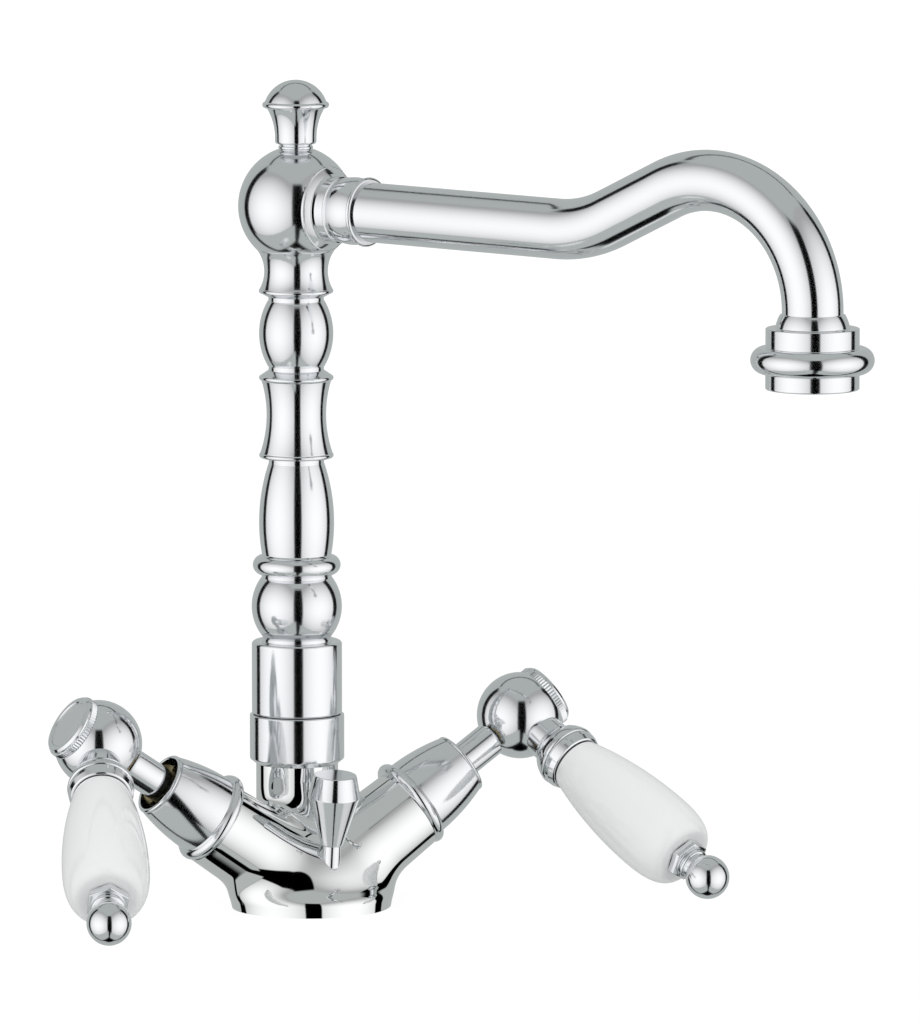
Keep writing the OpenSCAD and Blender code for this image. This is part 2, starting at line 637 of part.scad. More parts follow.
module end_nut() color("silver") in_lever() difference() {
    union() {
        rotate([0, 0, 90 - lever_hang]) translate([0, 0, nut_start]) cylinder(d = end_hex_d, h = end_hex_h, $fn = 6);
        hole(end_neck_d, end_ball_at - nut_face, nut_face);
        rotate_extrude() bead(end_neck_d / 2 + 0.8, 0.7, nut_face + 1.6);
        translate([0, 0, end_ball_at]) sphere(d = end_ball_d);
    }
    hole(tie_rod_d + 2 * fit_play, tie_rod_end - nut_start + 1, nut_start - 1);
}

// Spigot that turns in the body's socket, held down by the collar nut
seal_rows = [neck_top_z - 10, neck_top_z - 2];
module spigot() color("goldenrod") in_column() difference() {
    union() {
        hole(socket_d - 2 * run_play, joint_z + spigot_in - spigot_low_z, spigot_low_z);
        hole(flange_out_d, 1.5, neck_thread_z + end_play / 2);
    }
    hole(spigot_bore, 80, spigot_low_z - 1);
    for (z = seal_rows) translate([0, 0, z]) rotate_extrude()
        translate([socket_d / 2 - seal_wire, -seal_wire / 2 - 0.1]) square([seal_wire + 1, seal_wire + 0.2]);
}
module spigot_seals() color("dimgray") in_column() for (z = seal_rows) o_ring(socket_d - run_play / 2, seal_wire - 0.1, z);

// Column: one turned length, foot to bell
module column() color("silver") in_column() difference() {
    union() {
        rotate_extrude() {
            foot_outline();
            bead_orb();
            translate([0, barrel_low_z]) barrel_low_outline();
            translate([0, waist_z]) waist_outline();
            barrel_up_outline();
            translate([0, neck_bell_z]) neck_bell_outline();
            translate([0, joint_z + foot_h - 0.5]) square([0.39 * foot_d, orb_z + 0.6 - joint_z - foot_h]);
            translate([0, orb_z + orb_h - 0.6]) square([0.385 * foot_d, barrel_low_z - orb_z - orb_h + 1]);
            translate([0, waist_z - groove_h - 0.4]) square([0.93 * waist_d / 2, groove_h + 0.8]);
            translate([0, barrel_up_z - groove_h - 0.4]) square([0.95 * waist_d / 2, groove_h + 0.8]);
            translate([0, neck_bell_z - groove_h - 0.4]) square([0.97 * waist_d / 2, groove_h + 0.8]);
        }
        hole(head_spigot_d, head_spigot_h + 1, column_top_z - 1);
    }
    hole(column_bore, column_top_z, joint_z - 1);
    hole(socket_d - 2 * run_play + 2 * fit_play, spigot_in + 1, joint_z - 1);
}
module foot_outline() {
    edge = 1.1;
    translate([0, joint_z + 0.4]) square([foot_d / 2, foot_h - edge - 0.4]);
    translate([0, joint_z]) square([foot_d / 2 - 0.3, foot_h]);
    translate([0, joint_z + 1]) square([foot_d / 2 - edge, foot_h - 1]);
    translate([foot_d / 2 - edge, joint_z + foot_h - edge]) circle(edge);
}
module bead_orb() {
    mid = orb_z + orb_h / 2 + 0.3;
    swell(orb_d / 2, 0.39 * foot_d, mid, orb_z + orb_h, orb_z, orb_z + orb_h);
    bead(ring_d / 2, ring_wire / 2, ring_z + ring_wire / 2);
}
module barrel_low_outline() swell(barrel_low_d / 2, 0.94 * waist_d / 2, 0.35 * barrel_low_h, barrel_low_h, 0, barrel_low_h);
module barrel_up_outline() translate([0, barrel_up_z])
    swell(barrel_up_d / 2, 0.96 * waist_d / 2, barrel_up_h / 2, barrel_up_h, 0, barrel_up_h);
rim_bead = 0.85;
// The inner edge of a rim is turned off in a cone of this height
rim_slope = 1.5;
module waist_outline() {
    narrow(waist_d / 2, rim_d / 2 - 0.1, waist_h / 2, rim_bead + 0.4, waist_h - rim_bead - rim_slope);
    bead(rim_d / 2, rim_bead, rim_bead + 0.4);
    bead(rim_d / 2, rim_bead, waist_h - rim_bead - rim_slope);
    polygon([[0, waist_h - rim_bead - rim_slope], [rim_d / 2 - 0.25, waist_h - rim_bead - rim_slope + 0.55], [0.95 * waist_d / 2, waist_h], [0, waist_h]]);
    square([0.93 * waist_d / 2, 2]);
}
module neck_bell_outline() {
    narrow(neck_bell_d / 2, bell_top_d / 2, 0.54 * neck_bell_h, rim_bead + 0.95, neck_bell_h);
    bead(rim_d / 2, rim_bead, rim_bead + 0.95);
    polygon([[0, 0], [0.97 * waist_d / 2, 0], [rim_d / 2 - 0.25, rim_bead + 0.4], [0, rim_bead + 0.95]]);
}
module head_seal() color("dimgray") in_column() ring(head_spigot_d, column_bore, head_seal_t, column_top_z + head_spigot_h);

// Height of the flat that the finial stands on, above the ball's centre
finial_seat = head_rise(finial_neck_d / 2) - 0.1;
// The ball's outline between its seat on the column and the finial's flat
ball_steps = 40;
ball_low = -acos((bell_top_d / 2 + head_stretch) / head_r);
ball_high = asin(finial_seat / head_r);
ball_arc = [for (i = [0:ball_steps]) let (t = ball_low + (ball_high - ball_low) * i / ball_steps)
    [head_r * cos(t) - head_stretch, head_r * sin(t)]];
// Head ball with the boss that takes the spout
module head_ball() color("silver") difference() {
    union() {
        in_column() translate([0, 0, head_z]) rotate_extrude()
            polygon(concat([[0, -head_rise(bell_top_d / 2)]], ball_arc, [[0, finial_seat]]));
        in_run() rotate_extrude() boss_outline();
    }
    in_column() {
        hole(head_d, 20, column_top_z - 20);
        hole(head_spigot_d + 2 * fit_play, head_spigot_h + head_seal_t + 1, column_top_z - 1);
        hole(column_bore, head_z - column_top_z, column_top_z);
        hole(finial_stem_d, 30, head_z + head_d / 2 - finial_stem_in - 1.5);
    }
    in_run() {
        hole(tube_d - 2 * tube_wall, boss_out);
        hole(tube_d + 2 * fit_play, boss_out, tube_in);
    }
}
// The boss: a seat cut square on the ball, a plain band, a groove and a barrel
module boss_outline() {
    seat_at = sqrt(head_d * head_d - boss_seat_d * boss_seat_d) / 2 + 0.7;
    barrel_at = seat_at + 6;
    polygon([[0, 0], [boss_seat_d / 2 + 0.9, 0], [boss_seat_d / 2 + 0.9, seat_at - 1.8], [boss_seat_d / 2, seat_at - 0.6],
             [boss_seat_d / 2, seat_at], [boss_d / 2 + 0.5, seat_at], [boss_d / 2 + 0.5, seat_at + 1.6],
             [boss_d / 2 - 0.1, seat_at + 2.3], [boss_d / 2 - 0.1, barrel_at - 0.7], [boss_d / 2 - 0.6, barrel_at - 0.4],
             [boss_d / 2 - 0.6, boss_out], [0, boss_out]]);
    swell(boss_d / 2, boss_d / 2 - 0.7, (barrel_at + boss_out) / 2, boss_out, barrel_at, boss_out);
}
module finial() color("silver") in_column() translate([0, 0, head_z]) {
    rim_at = finial_top - 8.15;
    foot_at = head_d / 2 + 1.4;
    shoulder_at = finial_top - 7.5;
    hole(finial_stem_d - 2 * fit_play, finial_stem_in, finial_seat - finial_stem_in + 0.5);
    rotate_extrude() {
        translate([0, finial_seat]) square([finial_neck_d / 2 - 0.4, foot_at - finial_seat + 0.5]);
        bead(finial_neck_d / 2, 0.65, finial_seat + 0.65);
        difference() {
            union() {
                translate([0, foot_at]) square([finial_foot_d / 2 - 0.9, 2]);
                translate([finial_foot_d / 2 - 0.95, foot_at + 0.95]) circle(0.95);
                translate([0, foot_at + 0.95]) square([0.87 * finial_rim_d / 2, rim_at - foot_at - 0.95]);
            }
            translate([finial_foot_d / 2 + 12, foot_at + 2]) circle(12, $fn = 120);
            translate([finial_foot_d / 2, foot_at]) square([12, 2]);
        }
        bead(finial_rim_d / 2, 1, rim_at);
        intersection() {
            union() {
                translate([2.6, shoulder_at]) circle(7.1, $fn = 120);
                translate([0, rim_at]) square([3, 8]);
            }
            translate([0, finial_top - 14.8]) circle(14.8, $fn = 180);
            translate([0, rim_at]) square([finial_rim_d, 12]);
        }
    }
}

// Swan neck tube: level, swept up, turned over, then straight down. Its bends are drawn apart and
// joined by short lengths whose wall is a hair thinner.
module tube_wall_2d(thinner = 0) difference() {
    circle(d = tube_d - thinner);
    circle(d = tube_d - 2 * tube_wall + thinner);
}
module tube_length(h) linear_extrude(h) tube_wall_2d();
module tube_join() translate([0, 0, -0.05]) linear_extrude(tube_join_len + 0.1) tube_wall_2d(0.2);
module spout_tube() color("silver") {
    in_run() {
        translate([0, 0, tube_in]) tube_length(run_len - tube_join_len - tube_in);
        translate([0, 0, run_len - tube_join_len]) tube_join();
    }
    in_spout() {
        translate([sweep_centre_x, 0, sweep_centre_z]) rotate([90, 0, 0]) rotate([0, 0, -90 - spout_droop])
            rotate_extrude(angle = sweep_angle + spout_droop) translate([sweep_r, 0]) tube_wall_2d();
        translate([sweep_end_x, 0, sweep_end_z]) rotate([0, 90 - sweep_angle, 0]) {
            tube_join();
            translate([0, 0, tube_join_len]) tube_length(climb_len - 2 * tube_join_len);
            translate([0, 0, climb_len - tube_join_len]) tube_join();
        }
        translate([bend_centre_x, 0, bend_centre_z]) rotate([90, 0, 0])
            rotate_extrude(angle = 90 + sweep_angle) translate([bend_r, 0]) tube_wall_2d();
        translate([reach, 0, bend_centre_z - tube_join_len]) tube_join();
        translate([reach, 0, tube_end_z]) tube_length(bend_centre_z - tube_join_len - tube_end_z);
    }
}
module spout_root_ring() color("silver") in_run() difference() {
    translate([0, 0, boss_out]) rotate_extrude() bead(root_ring_d / 2, 0.85, 0.85);
    hole(tube_d + 2 * fit_play, 10, boss_out - 1);
}

// Outlet nozzle and aerator
module nozzle() color("silver") in_outlet() difference() {
    rotate_extrude() {
        polygon([[0, nozzle_ring_z], [nozzle_d / 2, nozzle_ring_z], [nozzle_d / 2, shoulder_z - 0.4],
                 [nozzle_d / 2 - 0.4, shoulder_z], [tube_d / 2 + 2.2, shoulder_z],
                 [tube_d / 2 + 0.7, shoulder_z + shoulder_h], [0, shoulder_z + shoulder_h]]);
        bead(nozzle_ring_d / 2, nozzle_ring_wire / 2, nozzle_ring_z);
    }
    hole(aerator_thread_d + 2 * fit_play, nozzle_ring_wire / 2 + 4, nozzle_ring_z - nozzle_ring_wire / 2 - 1);
    hole(tube_d - 2 * tube_wall, 30, nozzle_ring_z);
    hole(tube_d + 2 * fit_play, 30, tube_end_z);
}
thread_top_z = nozzle_ring_z + 3;
washer_t = 1.2;
aerator_face_z = nozzle_ring_z - nozzle_ring_wire / 2;
aerator_wall = 1.4;
module aerator_washer() color("dimgray") in_outlet() ring(aerator_thread_d, aerator_thread_d - 7, washer_t, thread_top_z - washer_t);
module aerator_shell() color("silver") in_outlet() difference() {
    rotate_extrude() polygon([[0, aerator_face_z - aerator_band_h], [nozzle_d / 2 - 0.5, aerator_face_z - aerator_band_h],
        [nozzle_d / 2, aerator_face_z - aerator_band_h + 0.5], [nozzle_d / 2, aerator_face_z], [aerator_thread_d / 2, aerator_face_z],
        [aerator_thread_d / 2, thread_top_z - washer_t], [0, thread_top_z - washer_t]]);
    hole(aerator_thread_d - 2 * aerator_wall, 20, aerator_face_z - aerator_band_h + 1.2);
    hole(aerator_thread_d - 2 * aerator_wall - 1.6, 20, aerator_face_z - aerator_band_h - 1);
}
screen_pitch = 2.9;
module aerator_screen() color("gainsboro") in_outlet() difference() {
    hole(aerator_thread_d - 2 * aerator_wall - 2 * fit_play, 6, aerator_face_z - aerator_band_h + 1.2);
    for (ring_no = [0:3]) for (i = [0:max(6 * ring_no - 1, 0)])
        rotate([0, 0, ring_no == 0 ? 0 : 60 * i / ring_no]) translate([ring_no * screen_pitch, 0, aerator_face_z - aerator_band_h])
            cylinder(d = 1.7, h = 12);
}

body();
base_seal();
collar_nut();
slip_washer();
popup_guide();
popup_rod();
popup_knob();
side("left") headwork();  // left_headwork
side("left") seat_seal();  // left_seat_seal
side("left") fixed_disc();  // left_fixed_disc
side("left") moving_disc();  // left_moving_disc
side("left") spindle();  // left_spindle
side("left") spindle_seal();  // left_spindle_seal
side("left") cover();  // left_cover
side("left") stem();  // left_stem
side("left") handle_ball();  // left_ball
side("left") ball_screw();  // left_ball_screw
side("left") index_ring();  // left_index_ring
side("left") index_disc();  // left_index_disc
side("left") lever_bell();  // left_lever_bell
side("left") inner_washer();  // left_inner_washer
side("left") grip();  // left_grip
side("left") outer_washer();  // left_outer_washer
side("left") tie_rod();  // left_tie_rod
side("left") end_nut();  // left_end_nut
side("right") headwork();  // right_headwork
side("right") seat_seal();  // right_seat_seal
side("right") fixed_disc();  // right_fixed_disc
side("right") moving_disc();  // right_moving_disc
side("right") spindle();  // right_spindle
side("right") spindle_seal();  // right_spindle_seal
side("right") cover();  // right_cover
side("right") stem();  // right_stem
side("right") handle_ball();  // right_ball
side("right") ball_screw();  // right_ball_screw
side("right") index_ring();  // right_index_ring
side("right") index_disc();  // right_index_disc
side("right") lever_bell();  // right_lever_bell
side("right") inner_washer();  // right_inner_washer
side("right") grip();  // right_grip
side("right") outer_washer();  // right_outer_washer
side("right") tie_rod();  // right_tie_rod
side("right") end_nut();  // right_end_nut
spigot();
spigot_seals();
column();
head_seal();
head_ball();
finial();
spout_root_ring();
spout_tube();
nozzle();
aerator_washer();
aerator_screen();
aerator_shell();
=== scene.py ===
"""Basin mixer tap: the visible pieces, their finishes and the studio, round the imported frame.

Lengths in the code are millimetres in each piece's own frame. A piece is turned to metres in the
tap's frame when its mesh is made.
"""

import json
import math

import bmesh
import bpy
import numpy as np
from mathutils import Matrix, Vector


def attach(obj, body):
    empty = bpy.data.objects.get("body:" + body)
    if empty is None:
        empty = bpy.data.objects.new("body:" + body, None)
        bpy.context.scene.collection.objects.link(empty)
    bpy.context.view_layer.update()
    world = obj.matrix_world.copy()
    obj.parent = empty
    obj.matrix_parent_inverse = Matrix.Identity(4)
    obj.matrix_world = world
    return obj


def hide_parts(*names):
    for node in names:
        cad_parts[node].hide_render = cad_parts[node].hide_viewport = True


bl_info = {
    "name": "Basin mixer tap",
    "version": (1, 0, 0),
    "blender": (4, 5, 0),
    "location": "3D View > Sidebar > Basin tap",
    "description": "Builds a basin mixer tap with lever valves and its studio",
    "category": "Object",
}

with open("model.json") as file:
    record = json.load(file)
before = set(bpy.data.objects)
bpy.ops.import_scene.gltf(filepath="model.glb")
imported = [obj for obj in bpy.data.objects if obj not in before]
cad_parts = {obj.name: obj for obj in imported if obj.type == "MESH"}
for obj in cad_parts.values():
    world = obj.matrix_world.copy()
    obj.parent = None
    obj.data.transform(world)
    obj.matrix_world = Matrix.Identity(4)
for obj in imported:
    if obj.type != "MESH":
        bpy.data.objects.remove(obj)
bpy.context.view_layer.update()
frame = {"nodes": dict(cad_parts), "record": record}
MM = 0.001
SIDES = ("left", "right")

# Bores and seats where the visible pieces meet the inner ones, in millimetres
SPIGOT_R, NUT_R = 9.6, 12.1
INLET_R, INLET_X, INLET_Y, INLET_DEPTH = 4.5, 9.5, 2, 12
STUD_R, STUD_Y, STUD_DEPTH = 3.4, 15, 14
SEAL_GROOVE_R, SEAL_GROOVE_DEPTH = (20, 22.5), 2.2
AERATOR_R, AERATOR_SEAT_R = 9.8, 10.6
HEADWORK_R, HEADWORK_NECK_R = 11.0, 7.4
SPINDLE_R, LEVER_ROD_R = 3.6, 2.6
STEM_START = 18.6
DISC_DEPTH = 0.35


# Properties


def length(label, value, text):
    """A length that a user can set, given here in millimetres."""
    return bpy.props.FloatProperty(
        name=label, description=text, default=value * MM, min=0.0, precision=5,
        subtype="DISTANCE", unit="LENGTH",
    )


def angle(label, degrees, text):
    return bpy.props.FloatProperty(
        name=label, description=text, default=math.radians(degrees), subtype="ANGLE", unit="ROTATION"
    )


def share(label, value, text, top=1.0):
    return bpy.props.FloatProperty(
        name=label, description=text, default=value, min=0.0, max=top, subtype="FACTOR"
    )


def tint(label, rgb, text):
    return bpy.props.FloatVectorProperty(
        name=label, description=text, default=(*rgb, 1.0), size=4, min=0.0, max=1.0, subtype="COLOR"
    )


class TapBodySizes(bpy.types.PropertyGroup):
    base_d: length("Base", 50, "Diameter of the round base")
    base_flank_h: length("Base flank", 5.5, "Height of the base's upright flank")
    base_round: length("Base rounding", 2.2, "Rounding of the base's upper edge")
    neck_d: length("Neck", 26.4, "Diameter of the neck under the column")
    neck_top_z: length("Neck height", 45, "Height of the neck's shoulder")
    column_back: length("Column offset", 11.3, "Distance from the base's middle back to the column")
    arm_angle: angle("Arm rake", 34, "Rake of the valve arms above the level")
    arm_meet_z: length("Arm meeting height", 7.4, "Height at which the arm axes meet")
    arm_len: length("Arm", 40.4, "Length of an arm from that point")
    arm_root_d: length("Arm root", 30.4, "Diameter of an arm at its root")
    arm_end_d: length("Arm end", 27.4, "Diameter of an arm at its end")
    arm_drop: length("Arm drop", 1, "How far an arm's skin hangs below its axis")
    core_d: length("Core", 43, "Diameter of the round core between the arms")
    core_z: length("Core height", 0.5, "Height of that core's middle")
    blend_core: length("Core blend", 5, "Blend where the core leaves the base")
    blend_base: length("Base blend", 10, "Blend where the arms leave the base")
    blend_arms: length("Arm blend", 6, "Blend between the arms")
    blend_neck: length("Neck blend", 7, "Blend round the neck")


class TapValveSizes(bpy.types.PropertyGroup):
    ring_d: length("Cover ring", 30.5, "Diameter over the ring at a cover's foot")
    ring_wire: length("Cover ring thickness", 3.9, "Thickness of that ring")
    foot_d: length("Cover foot", 26.8, "Diameter of the cover above its ring")
    mouth_d: length("Cover mouth", 21, "Diameter over the cover's mouth")
    cover_len: length("Cover", 23.7, "Length of the cover")
    cover_wall: length("Cover wall", 1.2, "Wall at the cover's mouth")
    lip: length("Cover lip", 1.3, "Width of the lip at the mouth")
    stem_d: length("Stem", 11.3, "Diameter of the stem between cover and ball")
    ball_out: length("Ball distance", 48.8, "From the arm's end face to the ball's centre")
    ball_d: length("Ball", 28, "Diameter of the handle ball")
    index_d: length("Index ring", 21.5, "Diameter over the knurled ring")
    index_h: length("Index ring height", 3.7, "Height of the knurled ring")
    index_disc_d: length("Index disc", 15.8, "Diameter of the plain disc")
    teeth: bpy.props.IntProperty(
        name="Knurl teeth", description="Teeth round the index ring", default=64, min=24, max=96
    )


class TapLeverSizes(bpy.types.PropertyGroup):
    hang: angle("Lever hang", 33.5, "How far the levers hang below the level")
    neck_d: length("Lever neck", 14, "Diameter of the lever's neck")
    bell_start: length("Bell start", 17.1, "Where the bell starts, from the ball's centre")
    bell_end: length("Bell end", 28.8, "Where the bell ends")
    bell_d: length("Bell", 21.2, "Diameter over the bell")
    bell_band: length("Bell band", 3.7, "Width of the band behind the bell's groove")
    washer_t: length("Washer", 0.4, "Thickness of the washers at the grip's ends")
    grip_len: length("Grip", 53.4, "Length of the ceramic grip")
    grip_start_d: length("Grip start", 18.4, "Diameter of the grip at the bell")
    grip_max_d: length("Grip belly", 27.4, "Greatest diameter of the grip")
    grip_widest: length("Grip belly's place", 38, "From the grip's inner end to its belly")
    grip_end_d: length("Grip end", 17.2, "Diameter of the flat at the grip's end")
    hex_d: length("End hexagon", 14.2, "Across the corners of the end nut")
    hex_h: length("End hexagon height", 2.8, "Thickness of that hexagon")
    end_ball_d: length("End ball", 14, "Diameter of the end ball")


class TapColumnSizes(bpy.types.PropertyGroup):
    joint_z: length("Swivel joint", 61.3, "Height of the swivel joint")
    collar_d: length("Collar nut", 30.4, "Diameter of the collar nut")
    foot_d: length("Foot", 29, "Diameter of the column's foot")
    foot_h: length("Foot height", 23.4, "Height of the column's foot")
    orb_d: length("Orb", 29, "Diameter of the orb")
    orb_h: length("Orb height", 19.4, "Height of the orb")
    ring_d: length("Ring", 28.2, "Diameter over the ring")
    ring_wire: length("Ring thickness", 6.2, "Thickness of the ring")
    low_d: length("Lower barrel", 24.1, "Greatest diameter of the lower barrel")
    low_h: length("Lower barrel height", 29.2, "Height of the lower barrel")
    waist_d: length("Waist", 19.1, "Smallest diameter of the waist")
    waist_h: length("Waist height", 28.6, "Height of the waisted length")
    up_d: length("Upper barrel", 23.8, "Greatest diameter of the upper barrel")
    up_h: length("Upper barrel height", 20.8, "Height of the upper barrel")
    bell_d: length("Column bell", 20.4, "Smallest diameter of the bell under the head")
    bell_h: length("Column bell height", 15, "Height of that bell")
    bell_top_d: length("Column bell top", 25, "Diameter of the bell where the ball sits")
    rim_d: length("Rims", 23.9, "Diameter of the rims of waist and bell")
    groove_h: length("Grooves", 1.5, "Height of the grooves")
    head_d: length("Head ball", 37, "Diameter of the head ball")
    head_stretch: length("Head ball stretch", 0.9, "How far beyond the axis the ball's outline is struck")
    finial_top: length("Finial", 40.45, "Top of the finial above the ball's centre")
    finial_rim_d: length("Finial rim", 21.4, "Diameter over the finial's rim")
    finial_foot_d: length("Finial foot", 13.3, "Diameter of the finial's foot")


class TapSpoutSizes(bpy.types.PropertyGroup):
    swing: angle("Spout swing", 28.5, "Angle of the spout to the right of straight ahead")
    tube_d: length("Tube", 19, "Outside diameter of the spout tube")
    reach: length("Reach", 201, "From the column's axis to the outlet's axis")
    droop: angle("Droop", 0.7, "How far the tube's first length falls")
    sweep_r: length("Sweep", 47, "Radius of the sweep that lifts the tube")
    sweep: angle("Sweep angle", 25.5, "Angle to which the tube climbs")
    climb: length("Climb", 23.5, "Straight length between sweep and bend")
    bend_r: length("Bend", 38.5, "Radius of the bend that turns down")
    boss_d: length("Boss", 21.6, "Diameter of the boss on the head ball")
    boss_seat_d: length("Boss seat", 27, "Diameter of the seat round the boss")
    boss_out: length("Boss end", 28, "From the column's axis to the boss's end")
    root_ring_d: length("Root ring", 22.2, "Diameter over the thin ring at the tube's root")
    outlet_z: length("Outlet height", 179.8, "Height of the outlet's lower face")
    nozzle_d: length("Nozzle", 29, "Diameter of the nozzle's band")
    nozzle_ring_d: length("Nozzle ring", 38.3, "Diameter over the nozzle's ring")
    nozzle_ring_wire: length("Nozzle ring thickness", 8.3, "Thickness of that ring")
    aerator_band_h: length("Aerator band", 4.9, "Height of the aerator's band")


class TapPopupSizes(bpy.types.PropertyGroup):
    rod_front: length("Rod position", 13.9, "Where the rod meets the deck, in front of the middle")
    rod_lean: angle("Rod lean", 6.3, "Lean of the rod towards the user")
    rod_d: length("Rod", 4, "Diameter of the lift rod")
    guide_top: length("Guide top", 22.4, "From the deck to the guide's upper face")
    knob_h: length("Knob", 23, "Height of the knob")
    knob_top_d: length("Knob top", 13.7, "Diameter of the knob's top")
    knob_wide_d: length("Knob width", 16.9, "Greatest diameter of the knob")
    knob_foot_d: length("Knob foot", 7, "Diameter of the knob's foot")


class TapFinishes(bpy.types.PropertyGroup):
    chrome: tint("Chrome", (0.865, 0.875, 0.875), "Colour of the chrome plate")
    chrome_roughness: share("Chrome roughness", 0.035, "Roughness of the chrome plate")
    porcelain: tint("Porcelain", (0.81, 0.8, 0.81), "Colour of the glazed grips")
    brass: tint("Brass", (0.72, 0.56, 0.28), "Colour of the bare brass")
    rubber: tint("Rubber", (0.03, 0.03, 0.032), "Colour of the rubber")
    nylon: tint("Nylon", (0.82, 0.83, 0.84), "Colour of the nylon pieces")
    steel: tint("Steel", (0.6, 0.61, 0.62), "Colour of the steel pieces")
    disc: tint("Disc ceramic", (0.88, 0.88, 0.86), "Colour of the valve discs")
    index: tint("Index metal", (0.8, 0.8, 0.81), "Colour of the index discs")


class TapStudio(bpy.types.PropertyGroup):
    azimuth: angle("Camera azimuth", -23.74, "Direction of the camera round the tap")
    camera_place: bpy.props.FloatVectorProperty(
        name="Camera", description="Place of the camera", default=(-1.20082, -2.73019, 0.51003), size=3,
        subtype="TRANSLATION", unit="LENGTH",
    )
    lens: bpy.props.FloatProperty(
        name="Lens", description="Focal length in millimetres", default=328.4, min=20.0
    )
    softbox: share("Softbox strength", 1.2, "Strength of the two softboxes in their middle", 5.0)
    falloff: share("Softbox falloff", 0.45, "How much weaker the softboxes are at their edges", 5.0)
    surround: share("Surround strength", 0.5, "Strength of the grey surround", 5.0)
    fill: share("Fill", 0.73, "Strength of the even light on the pieces that aren't metal", 5.0)
    surround_tint: tint("Surround tint", (0.945, 1.0, 0.985), "Tint of the grey surround")
    key_power: bpy.props.FloatProperty(
        name="Key lamp", description="Power of the two soft lamps", default=3.0, min=0.0, unit="POWER"
    )


def sizes(group):
    """The group's lengths in millimetres and its other values as they are."""
    values = {}
    for key in type(group).__annotations__:
        value = getattr(group, key)
        prop = group.bl_rna.properties[key]
        values[key] = value / MM if prop.type == "FLOAT" and prop.unit == "LENGTH" else value
    return type("Sizes", (), values)


# Frames


def shift(x=0.0, y=0.0, z=0.0):
    return Matrix.Translation((x, y, z))


def turn(radians, axis):
    return Matrix.Rotation(radians, 4, axis)


def column_frame(scene):
    return shift(y=sizes(scene.tap_body).column_back)


def head_rise(c, r):
    """Height of the head ball's skin above its centre at that radius."""
    return math.sqrt((c.head_d / 2 + c.head_stretch) ** 2 - (r + c.head_stretch) ** 2)


def head_height(scene):
    c = sizes(scene.tap_column)
    return column_levels(c)["top"] + head_rise(c, c.bell_top_d / 2)


def spout_frame(scene):
    """The spout's plane: X runs out along the spout from the head ball's centre."""
    swing = scene.tap_spout.swing
    return column_frame(scene) @ shift(z=head_height(scene)) @ turn(swing - math.pi / 2, "Z")


def rod_frame(scene):
    p = sizes(scene.tap_popup)
    return shift(y=-p.rod_front) @ turn(p.rod_lean, "X")


def arm_frame(scene, side):
    """Z runs out along the arm, X points down and outwards."""
    b = sizes(scene.tap_body)
    place = shift(z=b.arm_meet_z) @ turn(math.pi / 2 - b.arm_angle, "Y")
    return Matrix.Scale(-1, 4, (1, 0, 0)) @ place if side == "left" else place


def ball_place(scene):
    return sizes(scene.tap_body).arm_len + sizes(scene.tap_valve).ball_out


def lever_frame(scene, side):
    """Z runs from the ball's centre out along the lever."""
    hang = scene.tap_lever.hang
    return arm_frame(scene, side) @ shift(z=ball_place(scene)) @ turn(hang, "Z") @ turn(math.pi / 2, "X")


# Outlines


def arc3(a, m, b, steps=14):
    """Points of the circular arc from a to b through m."""
    ax, ay, mx, my, bx, by = *a, *m, *b
    d = 2 * (ax * (my - by) + mx * (by - ay) + bx * (ay - my))
    ux = ((ax**2 + ay**2) * (my - by) + (mx**2 + my**2) * (by - ay) + (bx**2 + by**2) * (ay - my)) / d
    uy = ((ax**2 + ay**2) * (bx - mx) + (mx**2 + my**2) * (ax - bx) + (bx**2 + by**2) * (mx - ax)) / d
    first, mid, last = (math.atan2(p[1] - uy, p[0] - ux) for p in (a, m, b))
    sweep = (last - first) % math.tau
    if (mid - first) % math.tau > sweep:
        sweep -= math.tau
    r = math.hypot(ax - ux, ay - uy)
    turns = [first + sweep * i / steps for i in range(steps + 1)]
    return [(ux + r * math.cos(t), uy + r * math.sin(t)) for t in turns]


def bowed(r_mid, r_end, mid, run, low, high, steps=28):
    """Points from low to high of an arc that has r_mid at mid, and r_end at that run from it."""
    depth = r_mid - r_end
    r = (run * run + depth * depth) / (2 * depth)
    heights = [low + (high - low) * i / steps for i in range(steps + 1)]
    return [(r_mid - r + math.copysign(math.sqrt(r * r - (z - mid) ** 2), r), z) for z in heights]


def bead(r, half, z, steps=14, low=-90, high=90):
    """A round bead of that radius, from below to above."""
    turns = [math.radians(low + (high - low) * i / steps) for i in range(steps + 1)]
    return [(r - half + half * math.cos(t), z + half * math.sin(t)) for t in turns]


def rounded(points, steps=5):
    """Corners given with a third number are rounded to that radius."""
    out = []
    count = len(points)
    for i, p in enumerate(points):
        here = Vector(p[:2])
        if len(p) < 3 or i in (0, count - 1):
            out.append(here)
            continue
        back = Vector(points[i - 1][:2]) - here
        ahead = Vector(points[i + 1][:2]) - here
        half = back.angle(ahead) / 2
        cut = min(p[2] / math.tan(half), 0.48 * back.length, 0.48 * ahead.length)
        radius = cut * math.tan(half)
        centre = here + (back.normalized() + ahead.normalized()).normalized() * (radius / math.sin(half))
        start = here + back.normalized() * cut - centre
        end = here + ahead.normalized() * cut - centre
        bend = start.angle_signed(end)
        out += [centre + Matrix.Rotation(-bend * k / steps, 2) @ start for k in range(steps + 1)]
    return out


def supported(points, edge=0.12, longest=2.5):
    """Adds points near the ends of long straight runs, so that smooth shading stays flat there."""
    out = [Vector(points[0])]
    for p in points[1:]:
        p = Vector(p)
        run = p - out[-1]
        if run.length > 4 * edge:
            start = out[-1]
            inner = max(1, math.ceil((run.length - 2 * edge) / longest))
            for k in range(inner + 1):
                out.append(start + run.normalized() * (edge + (run.length - 2 * edge) * k / inner))
        if (p - out[-1]).length > 1e-5:
            out.append(p)
    return out


# Meshes


